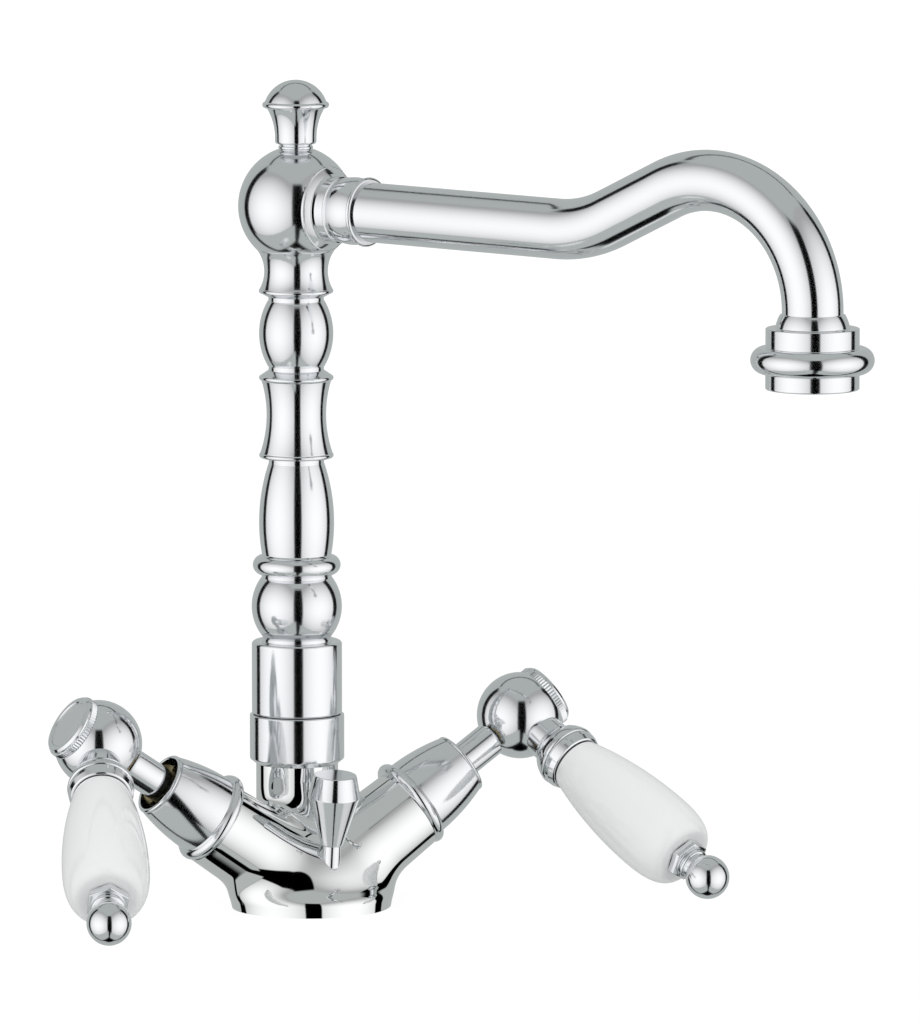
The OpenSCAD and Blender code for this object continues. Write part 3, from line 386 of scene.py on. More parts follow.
def edges_of(geom):
    return [e for e in geom if isinstance(e, bmesh.types.BMEdge)]


def ends_of(edges):
    """The edges' vertices, each once and always in the same order."""
    return list(dict.fromkeys(v for e in edges for v in e.verts))


def spun(outline, steps=144):
    """A turned form: the outline, in radius and height, spun round Z.

    An outline that starts off the axis is a ring and is closed on itself.
    """
    closed = outline[0][0] > 0
    points = supported(rounded(list(outline) + [outline[0]] if closed else outline))
    bm = bmesh.new()
    verts = [bm.verts.new((p[0], 0, p[1])) for p in (points[:-1] if closed else points)]
    edges = [bm.edges.new(pair) for pair in zip(verts, verts[1:] + verts[:1] if closed else verts[1:])]
    bmesh.ops.spin(
        bm, geom=verts + edges, cent=(0, 0, 0), axis=(0, 0, 1), dvec=(0, 0, 0), angle=math.tau, steps=steps,
        use_merge=True, use_normal_flip=False, use_duplicate=False,
    )
    bmesh.ops.remove_doubles(bm, verts=bm.verts, dist=1e-4)
    return bm


def cut_flat(bm, place, out):
    """Cuts away what lies beyond a plane and closes the cut."""
    geom = bm.verts[:] + bm.edges[:] + bm.faces[:]
    cut = bmesh.ops.bisect_plane(bm, geom=geom, dist=1e-4, plane_co=place, plane_no=out, clear_outer=True)
    bmesh.ops.holes_fill(bm, edges=edges_of(cut["geom_cut"]), sides=0)


def as_mesh(name, bm):
    """The bmesh as a mesh; the bmesh is freed."""
    mesh = bpy.data.meshes.new(name)
    bm.to_mesh(mesh)
    bm.free()
    return mesh


def smooth_mesh(name, bm, place):
    """A smooth mesh in metres, with its faces turned outwards, from a bmesh in millimetres."""
    bm.transform(Matrix.Scale(MM, 4) @ place)
    bmesh.ops.recalc_face_normals(bm, faces=bm.faces)
    mesh = as_mesh(name, bm)
    mesh.shade_smooth()
    return mesh


def placed(name, data):
    """An object of that mesh, lamp or camera, in the scene."""
    obj = bpy.data.objects.new(name, data)
    bpy.context.scene.collection.objects.link(obj)
    return obj


def joined(*parts):
    """One bmesh from several; each part is freed."""
    whole = parts[0]
    for part in parts[1:]:
        mesh = as_mesh("part", part)
        whole.from_mesh(mesh)
        bpy.data.meshes.remove(mesh)
    return whole


def piece(name, bm, place, body, node, slot="chrome", look=None, sharp=32.0):
    """Makes an object of the bmesh, hangs it on the body that it rides on, and hides the node that it stands
    for.
    """
    mesh = smooth_mesh(name, bm, place)
    mesh.set_sharp_from_angle(angle=math.radians(sharp))
    mesh.materials.append(bpy.data.materials[look or slot])
    obj = placed(name, mesh)
    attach(obj, body)
    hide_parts(node)
    return obj


# Finishes

ROUGHNESS_SPREAD = 0.3


class Nodes:
    """A short way to lay out a node tree."""

    def __init__(self, tree):
        self.tree = tree
        tree.nodes.clear()

    def add(self, kind, inputs=None, **settings):
        node = self.tree.nodes.new(kind)
        for key, value in settings.items():
            setattr(node, key, value)
        for key, value in (inputs or {}).items():
            if isinstance(value, bpy.types.NodeSocket):
                self.tree.links.new(value, node.inputs[key])
            else:
                node.inputs[key].default_value = value
        return node

    def math(self, operation, a, b=0.0):
        return self.add("ShaderNodeMath", {0: a, 1: b}, operation=operation).outputs[0]

    def times(self, a, b):
        return self.math("MULTIPLY", a, b)

    def over(self, a, b):
        return self.math("DIVIDE", a, b)

    def less(self, a, b):
        return self.math("SUBTRACT", a, b)

    def more(self, a, b):
        return self.math("MAXIMUM", a, b)

    def rest(self, value):
        """What the value leaves of 1."""
        return self.less(1.0, value)

    def step(self, value, low, high):
        """Rises smoothly from 0 to 1 between low and high."""
        inputs = {"Value": value, "From Min": low, "From Max": high}
        return self.add("ShaderNodeMapRange", inputs, interpolation_type="SMOOTHSTEP").outputs["Result"]

    def range(self, value, low, high):
        return self.add("ShaderNodeMapRange", {"Value": value, "To Min": low, "To Max": high}).outputs["Result"]

    def mix(self, factor, a, b, kind="FLOAT"):
        return self.add("ShaderNodeMix", {"Factor": factor, "A": a, "B": b}, data_type=kind).outputs["Result"]

    def noise(self, place, scale, detail):
        inputs = {"Vector": place, "Scale": scale, "Detail": detail}
        return self.add("ShaderNodeTexNoise", inputs).outputs["Fac"]


def shade(colour, factor):
    return (colour[0] * factor, colour[1] * factor, colour[2] * factor, 1.0)


def finish(name, colour, roughness, metallic=0.0, grain=90.0, tone=0.05, bump=0.0, bump_grain=40.0,
           stretch=(1, 1, 1), **shader):
    """A finish with a little variation of tone, roughness and surface, in object coordinates.

    The grains are noise scales, tone is a share of the colour, and bump is a depth in metres.
    """
    material = bpy.data.materials.new(name)
    material.use_nodes = True
    n = Nodes(material.node_tree)
    place = n.add("ShaderNodeTexCoord").outputs["Object"]
    place = n.add("ShaderNodeMapping", {"Vector": place, "Scale": stretch}).outputs["Vector"]
    fine = n.noise(place, grain, 3.0)
    inputs = {
        "Base Color": n.mix(fine, shade(colour, 1 - tone), shade(colour, 1.0), "RGBA"),
        "Roughness": n.range(fine, roughness * (1 - ROUGHNESS_SPREAD), roughness * (1 + ROUGHNESS_SPREAD)),
        "Metallic": metallic,
    }
    if bump:
        relief = {"Height": n.noise(place, bump_grain, 1.0), "Strength": 1.0, "Distance": bump}
        inputs["Normal"] = n.add("ShaderNodeBump", relief).outputs["Normal"]
    inputs.update(shader)
    surface = n.add("ShaderNodeBsdfPrincipled", inputs)
    n.add("ShaderNodeOutputMaterial", {"Surface": surface.outputs["BSDF"]})
    return material


class TAP_OT_finishes(bpy.types.Operator):
    """Makes the finishes and gives them to the inner pieces that the frame brings"""

    bl_idname = "tap.finishes"
    bl_label = "Finishes"

    def execute(self, context):
        f = context.scene.tap_finishes
        finish("chrome", f.chrome, f.chrome_roughness, 1.0, tone=0.03)
        finish("chrome_cast", f.chrome, f.chrome_roughness, 1.0, tone=0.03, bump=0.00006, bump_grain=38.0)
        glaze = {"Coat Weight": 0.5, "Coat Roughness": 0.06, "Specular IOR Level": 0.45}
        finish("porcelain", f.porcelain, 0.16, grain=30.0, tone=0.02, bump=0.00002, bump_grain=60.0, **glaze)
        finish("brass", f.brass, 0.28, 1.0, grain=300.0, tone=0.15)
        finish("rubber", f.rubber, 0.7, grain=500.0, tone=0.3, bump=0.00003, bump_grain=900.0)
        finish("nylon", f.nylon, 0.45, grain=200.0, tone=0.05)
        finish("steel", f.steel, 0.3, 1.0, grain=200.0, tone=0.1, stretch=(1, 1, 8))
        finish("disc_ceramic", f.disc, 0.22, grain=80.0, tone=0.04)
        finish("index_metal", f.index, 0.3, 0.15, grain=400.0, tone=0.04)
        slots = {s["node"]: s["material_slot"] for s in frame["record"]["subparts"]}
        for name, node in frame["nodes"].items():
            node.data.materials.clear()
            node.data.materials.append(bpy.data.materials[slots[name]])
        return {"FINISHED"}


# Body


def blend(a, b, k):
    h = np.maximum(k - np.abs(a - b), 0) / k
    return np.minimum(a, b) - h * h * k / 4


def body_field(p, b):
    """Distance to the cast body's skin, negative inside, for points in rows.

    The base, the arms and the neck run on past the faces at which they are cut.
    """
    low, arm_past, neck_low, neck_past = 8.0, 8, 16, 4
    along = np.array([math.cos(b.arm_angle), 0, math.sin(b.arm_angle)])
    down = np.array([math.sin(b.arm_angle), 0, -math.cos(b.arm_angle)])
    mid, half = (b.base_flank_h - low) / 2, (b.base_flank_h + low) / 2
    ring = np.hypot(p[:, 0], p[:, 1]) - (b.base_d / 2 - b.base_round)
    slab = np.abs(p[:, 2] - mid) - (half - b.base_round)
    inside = np.minimum(np.maximum(ring, slab), 0)
    base = inside + np.hypot(np.maximum(ring, 0), np.maximum(slab, 0)) - b.base_round
    core = np.linalg.norm(p - np.array([0, 0, b.core_z]), axis=1) - b.core_d / 2
    arms = []
    for way in (1, -1):
        q = p * np.array([way, 1, 1]) - np.array([0, 0, b.arm_meet_z]) - b.arm_drop * down
        s = np.clip(q @ along, 0, b.arm_len + arm_past)
        r = (b.arm_root_d + (b.arm_end_d - b.arm_root_d) * np.minimum(s / b.arm_len, 1)) / 2
        arms.append(np.linalg.norm(q - s[:, None] * along, axis=1) - r)
    lift = np.minimum(p[:, 2] - neck_low, 0) + np.maximum(p[:, 2] - b.neck_top_z - neck_past, 0)
    neck = np.sqrt(p[:, 0] ** 2 + (p[:, 1] - b.column_back) ** 2 + lift**2) - b.neck_d / 2
    foot = blend(base, core, b.blend_core)
    return blend(blend(foot, blend(arms[0], arms[1], b.blend_arms), b.blend_base), neck, b.blend_neck)


def cast_skin(b):
    """A sphere whose points are moved out along their rays to the blended skin."""
    bm = bmesh.new()
    bmesh.ops.create_icosphere(bm, subdivisions=7, radius=1.0)
    rays = np.array([v.co[:] for v in bm.verts])
    core, reach, halvings = np.array([0, 4, 15.0]), 75.0, 20
    low, high = np.zeros(len(rays)), np.full(len(rays), reach)
    for _ in range(halvings):
        mid = (low + high) / 2
        inside = body_field(core + rays * mid[:, None], b) < 0
        low, high = np.where(inside, mid, low), np.where(inside, high, mid)
    for v, point in zip(bm.verts, core + rays * low[:, None]):
        v.co = point
    cut_flat(bm, (0, 0, 0), (0, 0, -1))
    cut_flat(bm, (0, 0, b.neck_top_z), (0, 0, 1))
    for way in (1, -1):
        out = Vector((way * math.cos(b.arm_angle), 0, math.sin(b.arm_angle)))
        cut_flat(bm, Vector((0, 0, b.arm_meet_z)) + out * b.arm_len, out)
    return bm


def rod(r, low, high, place, sides=64):
    """A straight rod from low to high along Z of that place."""
    bm = bmesh.new()
    bmesh.ops.create_cone(bm, cap_ends=True, segments=sides, radius1=r, radius2=r, depth=high - low)
    bm.transform(place @ shift(z=(low + high) / 2))
    return bm


def carve(context, target, bm, operation, sharp):
    """Cuts the bmesh out of the target or joins it on, and keeps the result."""
    tool = placed("tool", smooth_mesh("tool", bm, Matrix()))
    step = target.modifiers.new("step", "BOOLEAN")
    step.operation, step.object, step.solver = operation, tool, "EXACT"
    done = bpy.data.meshes.new_from_object(target.evaluated_get(context.evaluated_depsgraph_get()))
    target.modifiers.clear()
    target.data = done
    done.name = target.name
    done.set_sharp_from_angle(angle=math.radians(sharp))
    bpy.data.objects.remove(tool)


class TAP_OT_body(bpy.types.Operator):
    """Builds the cast body with its blended arms, and cuts the holes in its underside"""

    bl_idname = "tap.body"
    bl_label = "Body"

    def execute(self, context):
        scene = context.scene
        skin_of, sharp, past = cast_skin(sizes(scene.tap_body)), 50, -1
        skin = piece("cast_body", skin_of, Matrix(), "tap_body", "body", look="chrome_cast", sharp=sharp)
        (inner, outer), depth = SEAL_GROOVE_R, SEAL_GROOVE_DEPTH
        groove = spun([(inner, past), (outer, past), (outer, depth), (inner, depth)], steps=96)
        holes = [rod(INLET_R, past, INLET_DEPTH, shift(x, INLET_Y)) for x in (-INLET_X, INLET_X)]
        holes.append(rod(STUD_R, past, STUD_DEPTH, shift(0, STUD_Y)))
        holes.append(rod(sizes(scene.tap_popup).rod_d / 2 + 1, -5, 12, rod_frame(scene)))
        carve(context, skin, joined(groove, *holes), "DIFFERENCE", sharp)
        return {"FINISHED"}


# Column


def column_levels(c):
    """Heights of the turned lengths."""
    orb = c.joint_z + c.foot_h + c.groove_h * 0.8
    ring = orb + c.orb_h + c.groove_h * 0.6
    low = ring + c.ring_wire + c.groove_h * 0.3
    waist = low + c.low_h + c.groove_h
    up = waist + c.waist_h + c.groove_h
    bell = up + c.up_h + c.groove_h
    levels = {"orb": orb, "ring": ring, "low": low, "waist": waist, "up": up, "bell": bell}
    return {**levels, "top": bell + c.bell_h}


def column_outline(c):
    """Foot, orb, ring, lower barrel, waist between two rims, upper barrel, and bell with its rim."""
    z = column_levels(c)
    rim, slope, rim_r, edge = 0.85, 1.5, c.rim_d / 2, c.rim_d / 2 - 0.25
    foot_r, neck_r, waist_r = c.foot_d / 2, 0.385 * c.foot_d, c.waist_d / 2
    orb_end_r, groove_r = 0.39 * c.foot_d, 0.93 * waist_r
    foot_top, orb_top = c.joint_z + c.foot_h, z["orb"] + c.orb_h
    out = [(0, c.joint_z), (foot_r - 0.3, c.joint_z), (foot_r, c.joint_z + 0.4, 0.2)]
    out += [(foot_r, foot_top, 1.1), (orb_end_r, foot_top, 0.1), (neck_r, z["orb"] - 0.2)]
    mid = z["orb"] + c.orb_h / 2 + 0.3
    out += bowed(c.orb_d / 2, orb_end_r, mid, orb_top - mid, z["orb"], orb_top) + [(neck_r, z["ring"])]
    out += bead(c.ring_d / 2, c.ring_wire / 2, z["ring"] + c.ring_wire / 2, 20, -80, 80)
    out += [(neck_r, z["low"] - 0.05), (neck_r, z["low"])]
    mid = z["low"] + 0.35 * c.low_h
    out += bowed(c.low_d / 2, 0.94 * waist_r, mid, 0.65 * c.low_h, z["low"], z["low"] + c.low_h)
    low, high = z["waist"] + rim + 0.4, z["waist"] + c.waist_h - rim - slope
    mid = z["waist"] + c.waist_h / 2
    out += [(groove_r, z["waist"] - c.groove_h, 0.1), (groove_r, low)] + bead(rim_r, rim, low, 12, -175, 58)
    out += bowed(waist_r, rim_r - 0.1, mid, mid - low, low + 0.85, high - 0.95)
    out += bead(rim_r, rim, high, 10, -72, 40)
    out += [(edge, high + 0.55), (0.95 * waist_r, z["waist"] + c.waist_h, 0.1)]
    out += [(groove_r, z["up"] - c.groove_h, 0.1), (groove_r, z["up"], 0.15)]
    out += bowed(c.up_d / 2, 0.96 * waist_r, z["up"] + c.up_h / 2, c.up_h / 2, z["up"], z["up"] + c.up_h)
    out += [(groove_r, z["bell"] - c.groove_h, 0.15), (groove_r, z["bell"], 0.1), (0.97 * waist_r, z["bell"])]
    low, mid = z["bell"] + rim + 0.95, z["bell"] + 0.54 * c.bell_h
    out += [(edge, low - 0.55)] + bead(rim_r, rim, low, 10, -38, 55)
    out += bowed(c.bell_d / 2, c.bell_top_d / 2, mid, z["top"] - mid, low + 0.75, z["top"] - 0.5, 22)
    return out + [(c.bell_top_d / 2, z["top"], 0.45), (0, z["top"])]


class TAP_OT_column(bpy.types.Operator):
    """Builds the collar nut, the slip washer and the turned column"""

    bl_idname = "tap.column"
    bl_label = "Column"

    def execute(self, context):
        scene = context.scene
        c, b = sizes(scene.tap_column), sizes(scene.tap_body)
        place = column_frame(scene)
        nut_r, low, top, lip = c.collar_d / 2, b.neck_top_z, c.joint_z - 0.3, 2.4
        nut = [
            (NUT_R, low), (b.neck_d / 2, low, 0.3), (nut_r, low + 1.6, 0.8), (nut_r, top, 0.5),
            (SPIGOT_R, top), (SPIGOT_R, top - lip), (NUT_R, top - lip),
        ]
        piece("collar_nut_turned", spun(nut), place, "tap_body", "collar_nut")
        inner, outer = SPIGOT_R + 0.1, c.foot_d / 2 - 0.5
        washer = [(inner, top), (outer, top), (outer, c.joint_z), (inner, c.joint_z)]
        piece("slip_ring", spun(washer), place, "tap_body", "slip_washer", "nylon", "rubber")
        piece("turned_column", spun(column_outline(c)), place, "spout", "column")
        return {"FINISHED"}


# Head and spout


def ball_outline(c):
    """The ball, drawn a little taller than wide, with a flat for the finial and one for the column."""
    r, steps = c.head_d / 2 + c.head_stretch, 72
    seat, crown = -head_rise(c, c.bell_top_d / 2), head_rise(c, 0.42 * c.finial_foot_d) - 0.1
    first, last = math.asin(seat / r), math.asin(crown / r)
    angles = [first + (last - first) * i / steps for i in range(steps + 1)]
    return [(0, seat)] + [(r * math.cos(t) - c.head_stretch, r * math.sin(t)) for t in angles] + [(0, crown)]


def boss_outline(c, s):
    """A seat cut square on the ball, a plain band, a groove and a barrel."""
    seat_r, out_r = s.boss_seat_d / 2, s.boss_d / 2
    seat = math.sqrt(c.head_d**2 - s.boss_seat_d**2) / 2 + 0.7
    barrel = seat + 6
    out = [(0, 2), (seat_r + 0.9, 2), (seat_r + 0.9, seat - 1.8, 0.8)]
    out += [(seat_r, seat - 0.6, 0.6), (seat_r, seat, 0.3)]
    out += [(out_r + 0.5, seat, 0.15), (out_r + 0.5, seat + 1.6, 0.3), (out_r - 0.1, seat + 2.3, 0.3)]
    out += [(out_r - 0.1, barrel - 0.7, 0.25), (out_r - 0.6, barrel - 0.4, 0.1)]
    mid = (barrel + s.boss_out) / 2
    return out + bowed(out_r, out_r - 0.7, mid, s.boss_out - mid, barrel, s.boss_out, 18) + [(0, s.boss_out)]


def finial_outline(c):
    """Neck with a bead, vase that flares up to the rim, and a round top, from the ball's centre up."""
    foot_r, rim_r, neck_r = c.finial_foot_d / 2, c.finial_rim_d / 2, 0.42 * c.finial_foot_d
    rim, foot, dome = c.finial_top - 8, c.head_d / 2 + 1.4, c.finial_rim_d / 2 - 0.3
    out = [(0, foot - 2.5), (neck_r - 0.4, foot - 2.5)]
    out += bead(neck_r, 0.65, head_rise(c, neck_r) + 0.55, 10, -60, 70)
    out += [(neck_r - 0.4, foot, 0.05), (foot_r - 0.95, foot)] + bead(foot_r, 0.95, foot + 0.95, 8, -84, 0)
    waist, side = foot + 2, 0.87 * rim_r
    out += bowed(foot_r, side, waist, rim - 0.95 - waist, waist, rim - 0.95, 24)
    out += bead(rim_r, 1, rim, 14, -88, 80)
    low = math.asin((rim + 0.9 - c.finial_top + dome) / dome)
    turns = [low + (math.pi / 2 - low) * i / 36 for i in range(37)]
    return out + [(dome * math.cos(t), c.finial_top - dome + dome * math.sin(t)) for t in turns]


def nozzle_shoulder(s):
    """Height of the nozzle's flat shoulder above the deck."""
    return s.outlet_z + s.aerator_band_h + s.nozzle_ring_wire - 0.2 + 6


def swan_neck(s, head_z):
    """A ring of edges carried along the spout's line: gently down, swept up, turned over, down."""
    a, d, inner = s.sweep, s.droop, 20.0
    end = nozzle_shoulder(s) - 2 - head_z
    top = s.reach - s.bend_r
    sweep_end = top - s.bend_r * math.sin(a) - s.climb * math.cos(a)
    run = (sweep_end - s.sweep_r * (math.sin(a) + math.sin(d))) / math.cos(d)
    sweep_x = run * math.cos(d) + s.sweep_r * math.sin(d)
    sweep_z = s.sweep_r * math.cos(d) - run * math.sin(d)
    bend_z = sweep_z - (s.sweep_r + s.bend_r) * math.cos(a) + s.climb * math.sin(a)
    bm = bmesh.new()
    bmesh.ops.create_circle(bm, cap_ends=True, segments=96, radius=s.tube_d / 2)
    bm.transform(turn(math.pi / 2 + d, "Y") @ shift(z=inner))
    ring = list(bm.edges)

    def along(x, z, count):
        nonlocal ring
        for _ in range(count):
            new = bmesh.ops.extrude_edge_only(bm, edges=ring)["geom"]
            ring = [e for e in edges_of(new) if len(e.link_faces) == 1]
            bmesh.ops.translate(bm, verts=ends_of(ring), vec=(x / count, 0, z / count))

    def around(x, z, bend, up, count):
        nonlocal ring
        last = bmesh.ops.spin(
            bm, geom=ends_of(ring) + ring, cent=(x, 0, z), axis=(0, -1 if up else 1, 0), dvec=(0, 0, 0),
            angle=bend, steps=count, use_merge=False, use_normal_flip=False, use_duplicate=False,
        )["geom_last"]
        ring = edges_of(last)

    along((run - inner) * math.cos(d), (inner - run) * math.sin(d), 20)
    around(sweep_x, sweep_z, a + d, True, 30)
    along(s.climb * math.cos(a), s.climb * math.sin(a), 8)
    around(top, bend_z, math.pi / 2 + a, False, 72)
    along(0, end - bend_z, 6)
    bmesh.ops.contextual_create(bm, geom=ring)
    return bm


class TAP_OT_spout(bpy.types.Operator):
    """Builds the head ball with its boss, the finial, the swan neck tube and its root ring"""

    bl_idname = "tap.spout"
    bl_label = "Spout"

    def execute(self, context):
        scene = context.scene
        c, s = sizes(scene.tap_column), sizes(scene.tap_spout)
        head_z = head_height(scene)
        place = spout_frame(scene)
        run = place @ turn(math.pi / 2 + s.droop, "Y")
        top = column_frame(scene) @ shift(z=head_z)
        head = piece("head_ball_turned", spun(ball_outline(c)), top, "spout", "head_ball")
        boss = spun(boss_outline(c, s))
        boss.transform(run)
        carve(context, head, boss, "UNION", 24)
        piece("finial_turned", spun(finial_outline(c)), top, "spout", "finial")
        inner, half = s.tube_d / 2 - 0.3, 0.85
        ring = [(inner, s.boss_out)] + bead(s.root_ring_d / 2, half, s.boss_out + half)
        piece("spout_root_bead", spun(ring + [(inner, s.boss_out + 2 * half)]), run, "spout", "spout_root_ring")
        piece("swan_neck", swan_neck(s, head_z), place, "spout", "spout_tube")
        return {"FINISHED"}


class TAP_OT_outlet(bpy.types.Operator):
    """Builds the nozzle and the aerator's housing"""

    bl_idname = "tap.outlet"
    bl_label = "Outlet"

    def execute(self, context):
        scene = context.scene
        s = sizes(scene.tap_spout)
        place = spout_frame(scene) @ shift(x=s.reach, z=-head_height(scene))
        r, tube_r, half = s.nozzle_d / 2, s.tube_d / 2, s.nozzle_ring_wire / 2
        low, face = s.outlet_z, s.outlet_z + s.aerator_band_h
        ring_z, top = face + half, nozzle_shoulder(s)
        outline = [(NUT_R, face + 0.3)] + bead(s.nozzle_ring_d / 2, half, ring_z, 30, -88, 68)
        outline += [(r, ring_z + half - 0.25, 0.15), (r, top, 0.4), (tube_r + 2.2, top, 0.15)]
        outline += arc3((tube_r + 2.0, top + 0.15), (tube_r + 1.5, top + 2.1), (tube_r + 0.6, top + 4.1), 8)
        outline += [(tube_r - 0.1, top + 4.3), (tube_r - 0.1, ring_z + 4), (NUT_R, ring_z + 4)]
        piece("nozzle_turned", spun(outline), place, "spout", "nozzle")
        thread_r, seat = NUT_R - 0.1, ring_z + 1.8
        shell = [
            (AERATOR_R, low), (r, low, 0.5), (r, face, 0.2), (thread_r, face), (thread_r, seat),
            (AERATOR_SEAT_R, seat), (AERATOR_SEAT_R, low + 1.2), (AERATOR_R, low + 1.2),
        ]
        piece("aerator_housing", spun(shell), place, "spout", "aerator_shell")
        return {"FINISHED"}


# Valves


def cover_outline(v):
    """Ring at the foot, slightly swollen cone, lip, and the open mouth."""
    half, lip, end = v.ring_wire / 2, v.lip, v.cover_len
    foot_r, mouth_r, inner = v.foot_d / 2, v.mouth_d / 2, v.mouth_d / 2 - v.cover_wall
    swell, shelf_low, shelf_high = 0.62, 7.0, 9.6
    out = [(HEADWORK_R, 0), (v.ring_d / 2 - half - 0.2, 0)] + bead(v.ring_d / 2, half, half - 0.1, 20, -68, 82)
    low, high = (foot_r - 0.05, 2 * half + 0.2), (mouth_r + 0.05, end - lip - 0.15)
    middle = ((foot_r + mouth_r) / 2 + swell, 0.5 * (end - lip) + 2)
    out += [(foot_r, 2 * half + 0.1)] + arc3(low, middle, high, 22) + [(mouth_r - 0.22, end - lip, 0.05)]
    out += bead(mouth_r, lip / 2, end - lip / 2, 10, -75, 90) + [(inner, end, 0.25), (inner, shelf_high)]
    return out + [(HEADWORK_NECK_R, shelf_high), (HEADWORK_NECK_R, shelf_low), (HEADWORK_R, shelf_low)]


def knurled(v, base_z):
    """The index ring: a knurled band, a plain rim above it and the dished seat for the disc."""
    r, inner, h, teeth = v.index_d / 2, v.index_disc_d / 2, v.index_h, v.teeth
    band, depth, roundness = 0.62 * h, 0.35, 0.7
    outline = [
        (inner, 0), (r - 0.15, 0), (r, 0.15), (r, band - 0.15), (r - 0.15, band), (r - 0.5, band, 0.05),
        (r - 0.5, h - 0.8, 0.35), (r - 1.2, h, 0.25), (inner + 0.25, h, 0.15), (inner, h - DISC_DEPTH, 0.1),
    ]
    bm = spun(outline, steps=teeth * 6)
    for vert in bm.verts:
        flat = vert.co.xy.length
        if flat > r - 0.2 and vert.co.z < band + 0.02:
            tooth = 0.5 + 0.5 * math.cos(teeth * math.atan2(vert.co.y, vert.co.x))
            vert.co.xy *= 1 - depth * (1 - tooth**roundness) / flat
    bm.transform(shift(z=base_z))
    return bm


class TAP_OT_valves(bpy.types.Operator):
    """Builds the valve covers, stems, handle balls and index caps of both sides"""

    bl_idname = "tap.valves"
    bl_label = "Valves"

    def execute(self, context):
        scene = context.scene
        v, arm_len = sizes(scene.tap_valve), sizes(scene.tap_body).arm_len
        ball_r, stem_r, disc_r = v.ball_d / 2, v.stem_d / 2, v.index_disc_d / 2 - 0.02
        flat = math.sqrt(ball_r**2 - (v.index_d / 2) ** 2)
        centre = ball_place(scene)
        start, end = arm_len + STEM_START, centre - 8
        top = centre + flat + v.index_h - DISC_DEPTH
        low = top - 0.9
        for side in SIDES:
            arm, name, body = arm_frame(scene, side), side + "_", side + "_lever"
            cover = spun(cover_outline(v))
            piece(name + "valve_cover", cover, arm @ shift(z=arm_len), "tap_body", name + "cover")
            stem = spun([(SPINDLE_R, start), (stem_r, start, 0.3), (stem_r, end), (SPINDLE_R, end)])
            piece(name + "bright_stem", stem, arm, body, name + "stem")
            ball = bmesh.new()
            bmesh.ops.create_uvsphere(ball, u_segments=160, v_segments=96, radius=ball_r)
            ball.transform(turn(math.pi / 2, "X"))
            cut_flat(ball, (0, 0, flat), (0, 0, 1))
            piece(name + "handle_ball", ball, arm @ shift(z=centre), body, name + "ball")
            piece(name + "knurled_ring", knurled(v, centre + flat), arm, body, name + "index_ring", sharp=40)
            disc = spun([(0, low), (disc_r, low), (disc_r, top, 0.1), (0, top)])
            piece(name + "plain_disc", disc, arm, body, name + "index_disc", "index_metal")
        return {"FINISHED"}


# Levers


def bell_outline(v, e):
    """Neck on the ball, bell, groove, and the band that ends at the grip."""
    neck_r, bell_r, grip_r = e.neck_d / 2, e.bell_d / 2, e.grip_start_d / 2
    seat = math.sqrt((v.ball_d / 2) ** 2 - neck_r**2)
    near, far, end = e.bell_start, e.bell_end - e.bell_band, e.bell_end
    out = [(LEVER_ROD_R, seat), (neck_r, seat), (neck_r, near - 0.2, 0.1), (neck_r + 0.3, near, 0.1)]
    out += arc3((neck_r + 0.4, near + 0.5), (bell_r - 0.85, near + 3.9), (bell_r, far - 1.3), 16)
    out += arc3((bell_r, far - 1.2), (bell_r - 0.2, far - 0.6), (bell_r - 0.7, far - 0.35), 6)
    out += [(bell_r - 0.7, far, 0.05), (bell_r - 0.15, far + 0.15, 0.15)]
    out += [(bell_r - 0.3, far + 0.45 * e.bell_band, 0.3), (grip_r + 0.5, end - 0.3, 0.2)]
    return out + [(grip_r + 0.1, end, 0.1), (LEVER_ROD_R, end)]


def grip_outline(e):
    """Slender at the bell, a long arc to the belly past the middle, and a full, rounded end."""
    start, bore_r, fullness, steps = e.bell_end + e.washer_t, 3.2, 0.82, 32
    end, belly = start + e.grip_len, start + e.grip_widest
    first, full, flat = e.grip_start_d / 2, e.grip_max_d / 2, e.grip_end_d / 2
    out = [(bore_r, start), (first - 0.35, start, 0.2)]
    out += bowed(full, first - 0.3, belly, e.grip_widest, start + 0.35, belly, 40)
    for t in (math.pi / 2 * i / steps for i in range(1, steps)):
        across, ahead = math.cos(t) ** fullness, math.sin(t) ** fullness
        out.append((flat + (full - flat) * across, belly + (end - belly) * ahead))
    return out + [(flat, end), (bore_r, end)]


def end_nut(e):
    """Hexagon with turned corners, a stepped neck and the small end ball."""
    start = e.bell_end + 2 * e.washer_t + e.grip_len
    face, r, neck, steps = start + e.hex_h, e.end_ball_d / 2, 0.33 * e.end_ball_d, 48
    nut = rod(e.hex_d / 2, start, face, turn(math.pi / 2 - e.hang, "Z"), 6)
    bmesh.ops.bevel(
        nut, geom=list(nut.edges), offset=0.32, offset_type="OFFSET", segments=3, profile=0.5,
        affect="EDGES", material=-1,
    )
    centre = face + 3.4 + math.sqrt(r * r - neck * neck)
    out = [(0, face - 0.2), (neck + 0.9, face - 0.2), (neck + 0.9, face + 0.35, 0.15)]
    out += [(neck, face + 0.55, 0.15), (neck, face + 0.9, 0.1)]
    out += bead(neck + 0.8, 0.7, face + 1.6, 10, -80, 80) + [(neck, face + 2.4, 0.1)]
    low = math.asin(neck / r)
    turns = [low + (math.pi - low) * i / steps for i in range(steps)]
    out += [(r * math.sin(t), centre - r * math.cos(t)) for t in turns]
    return joined(spun(out + [(0, centre + r)]), nut)


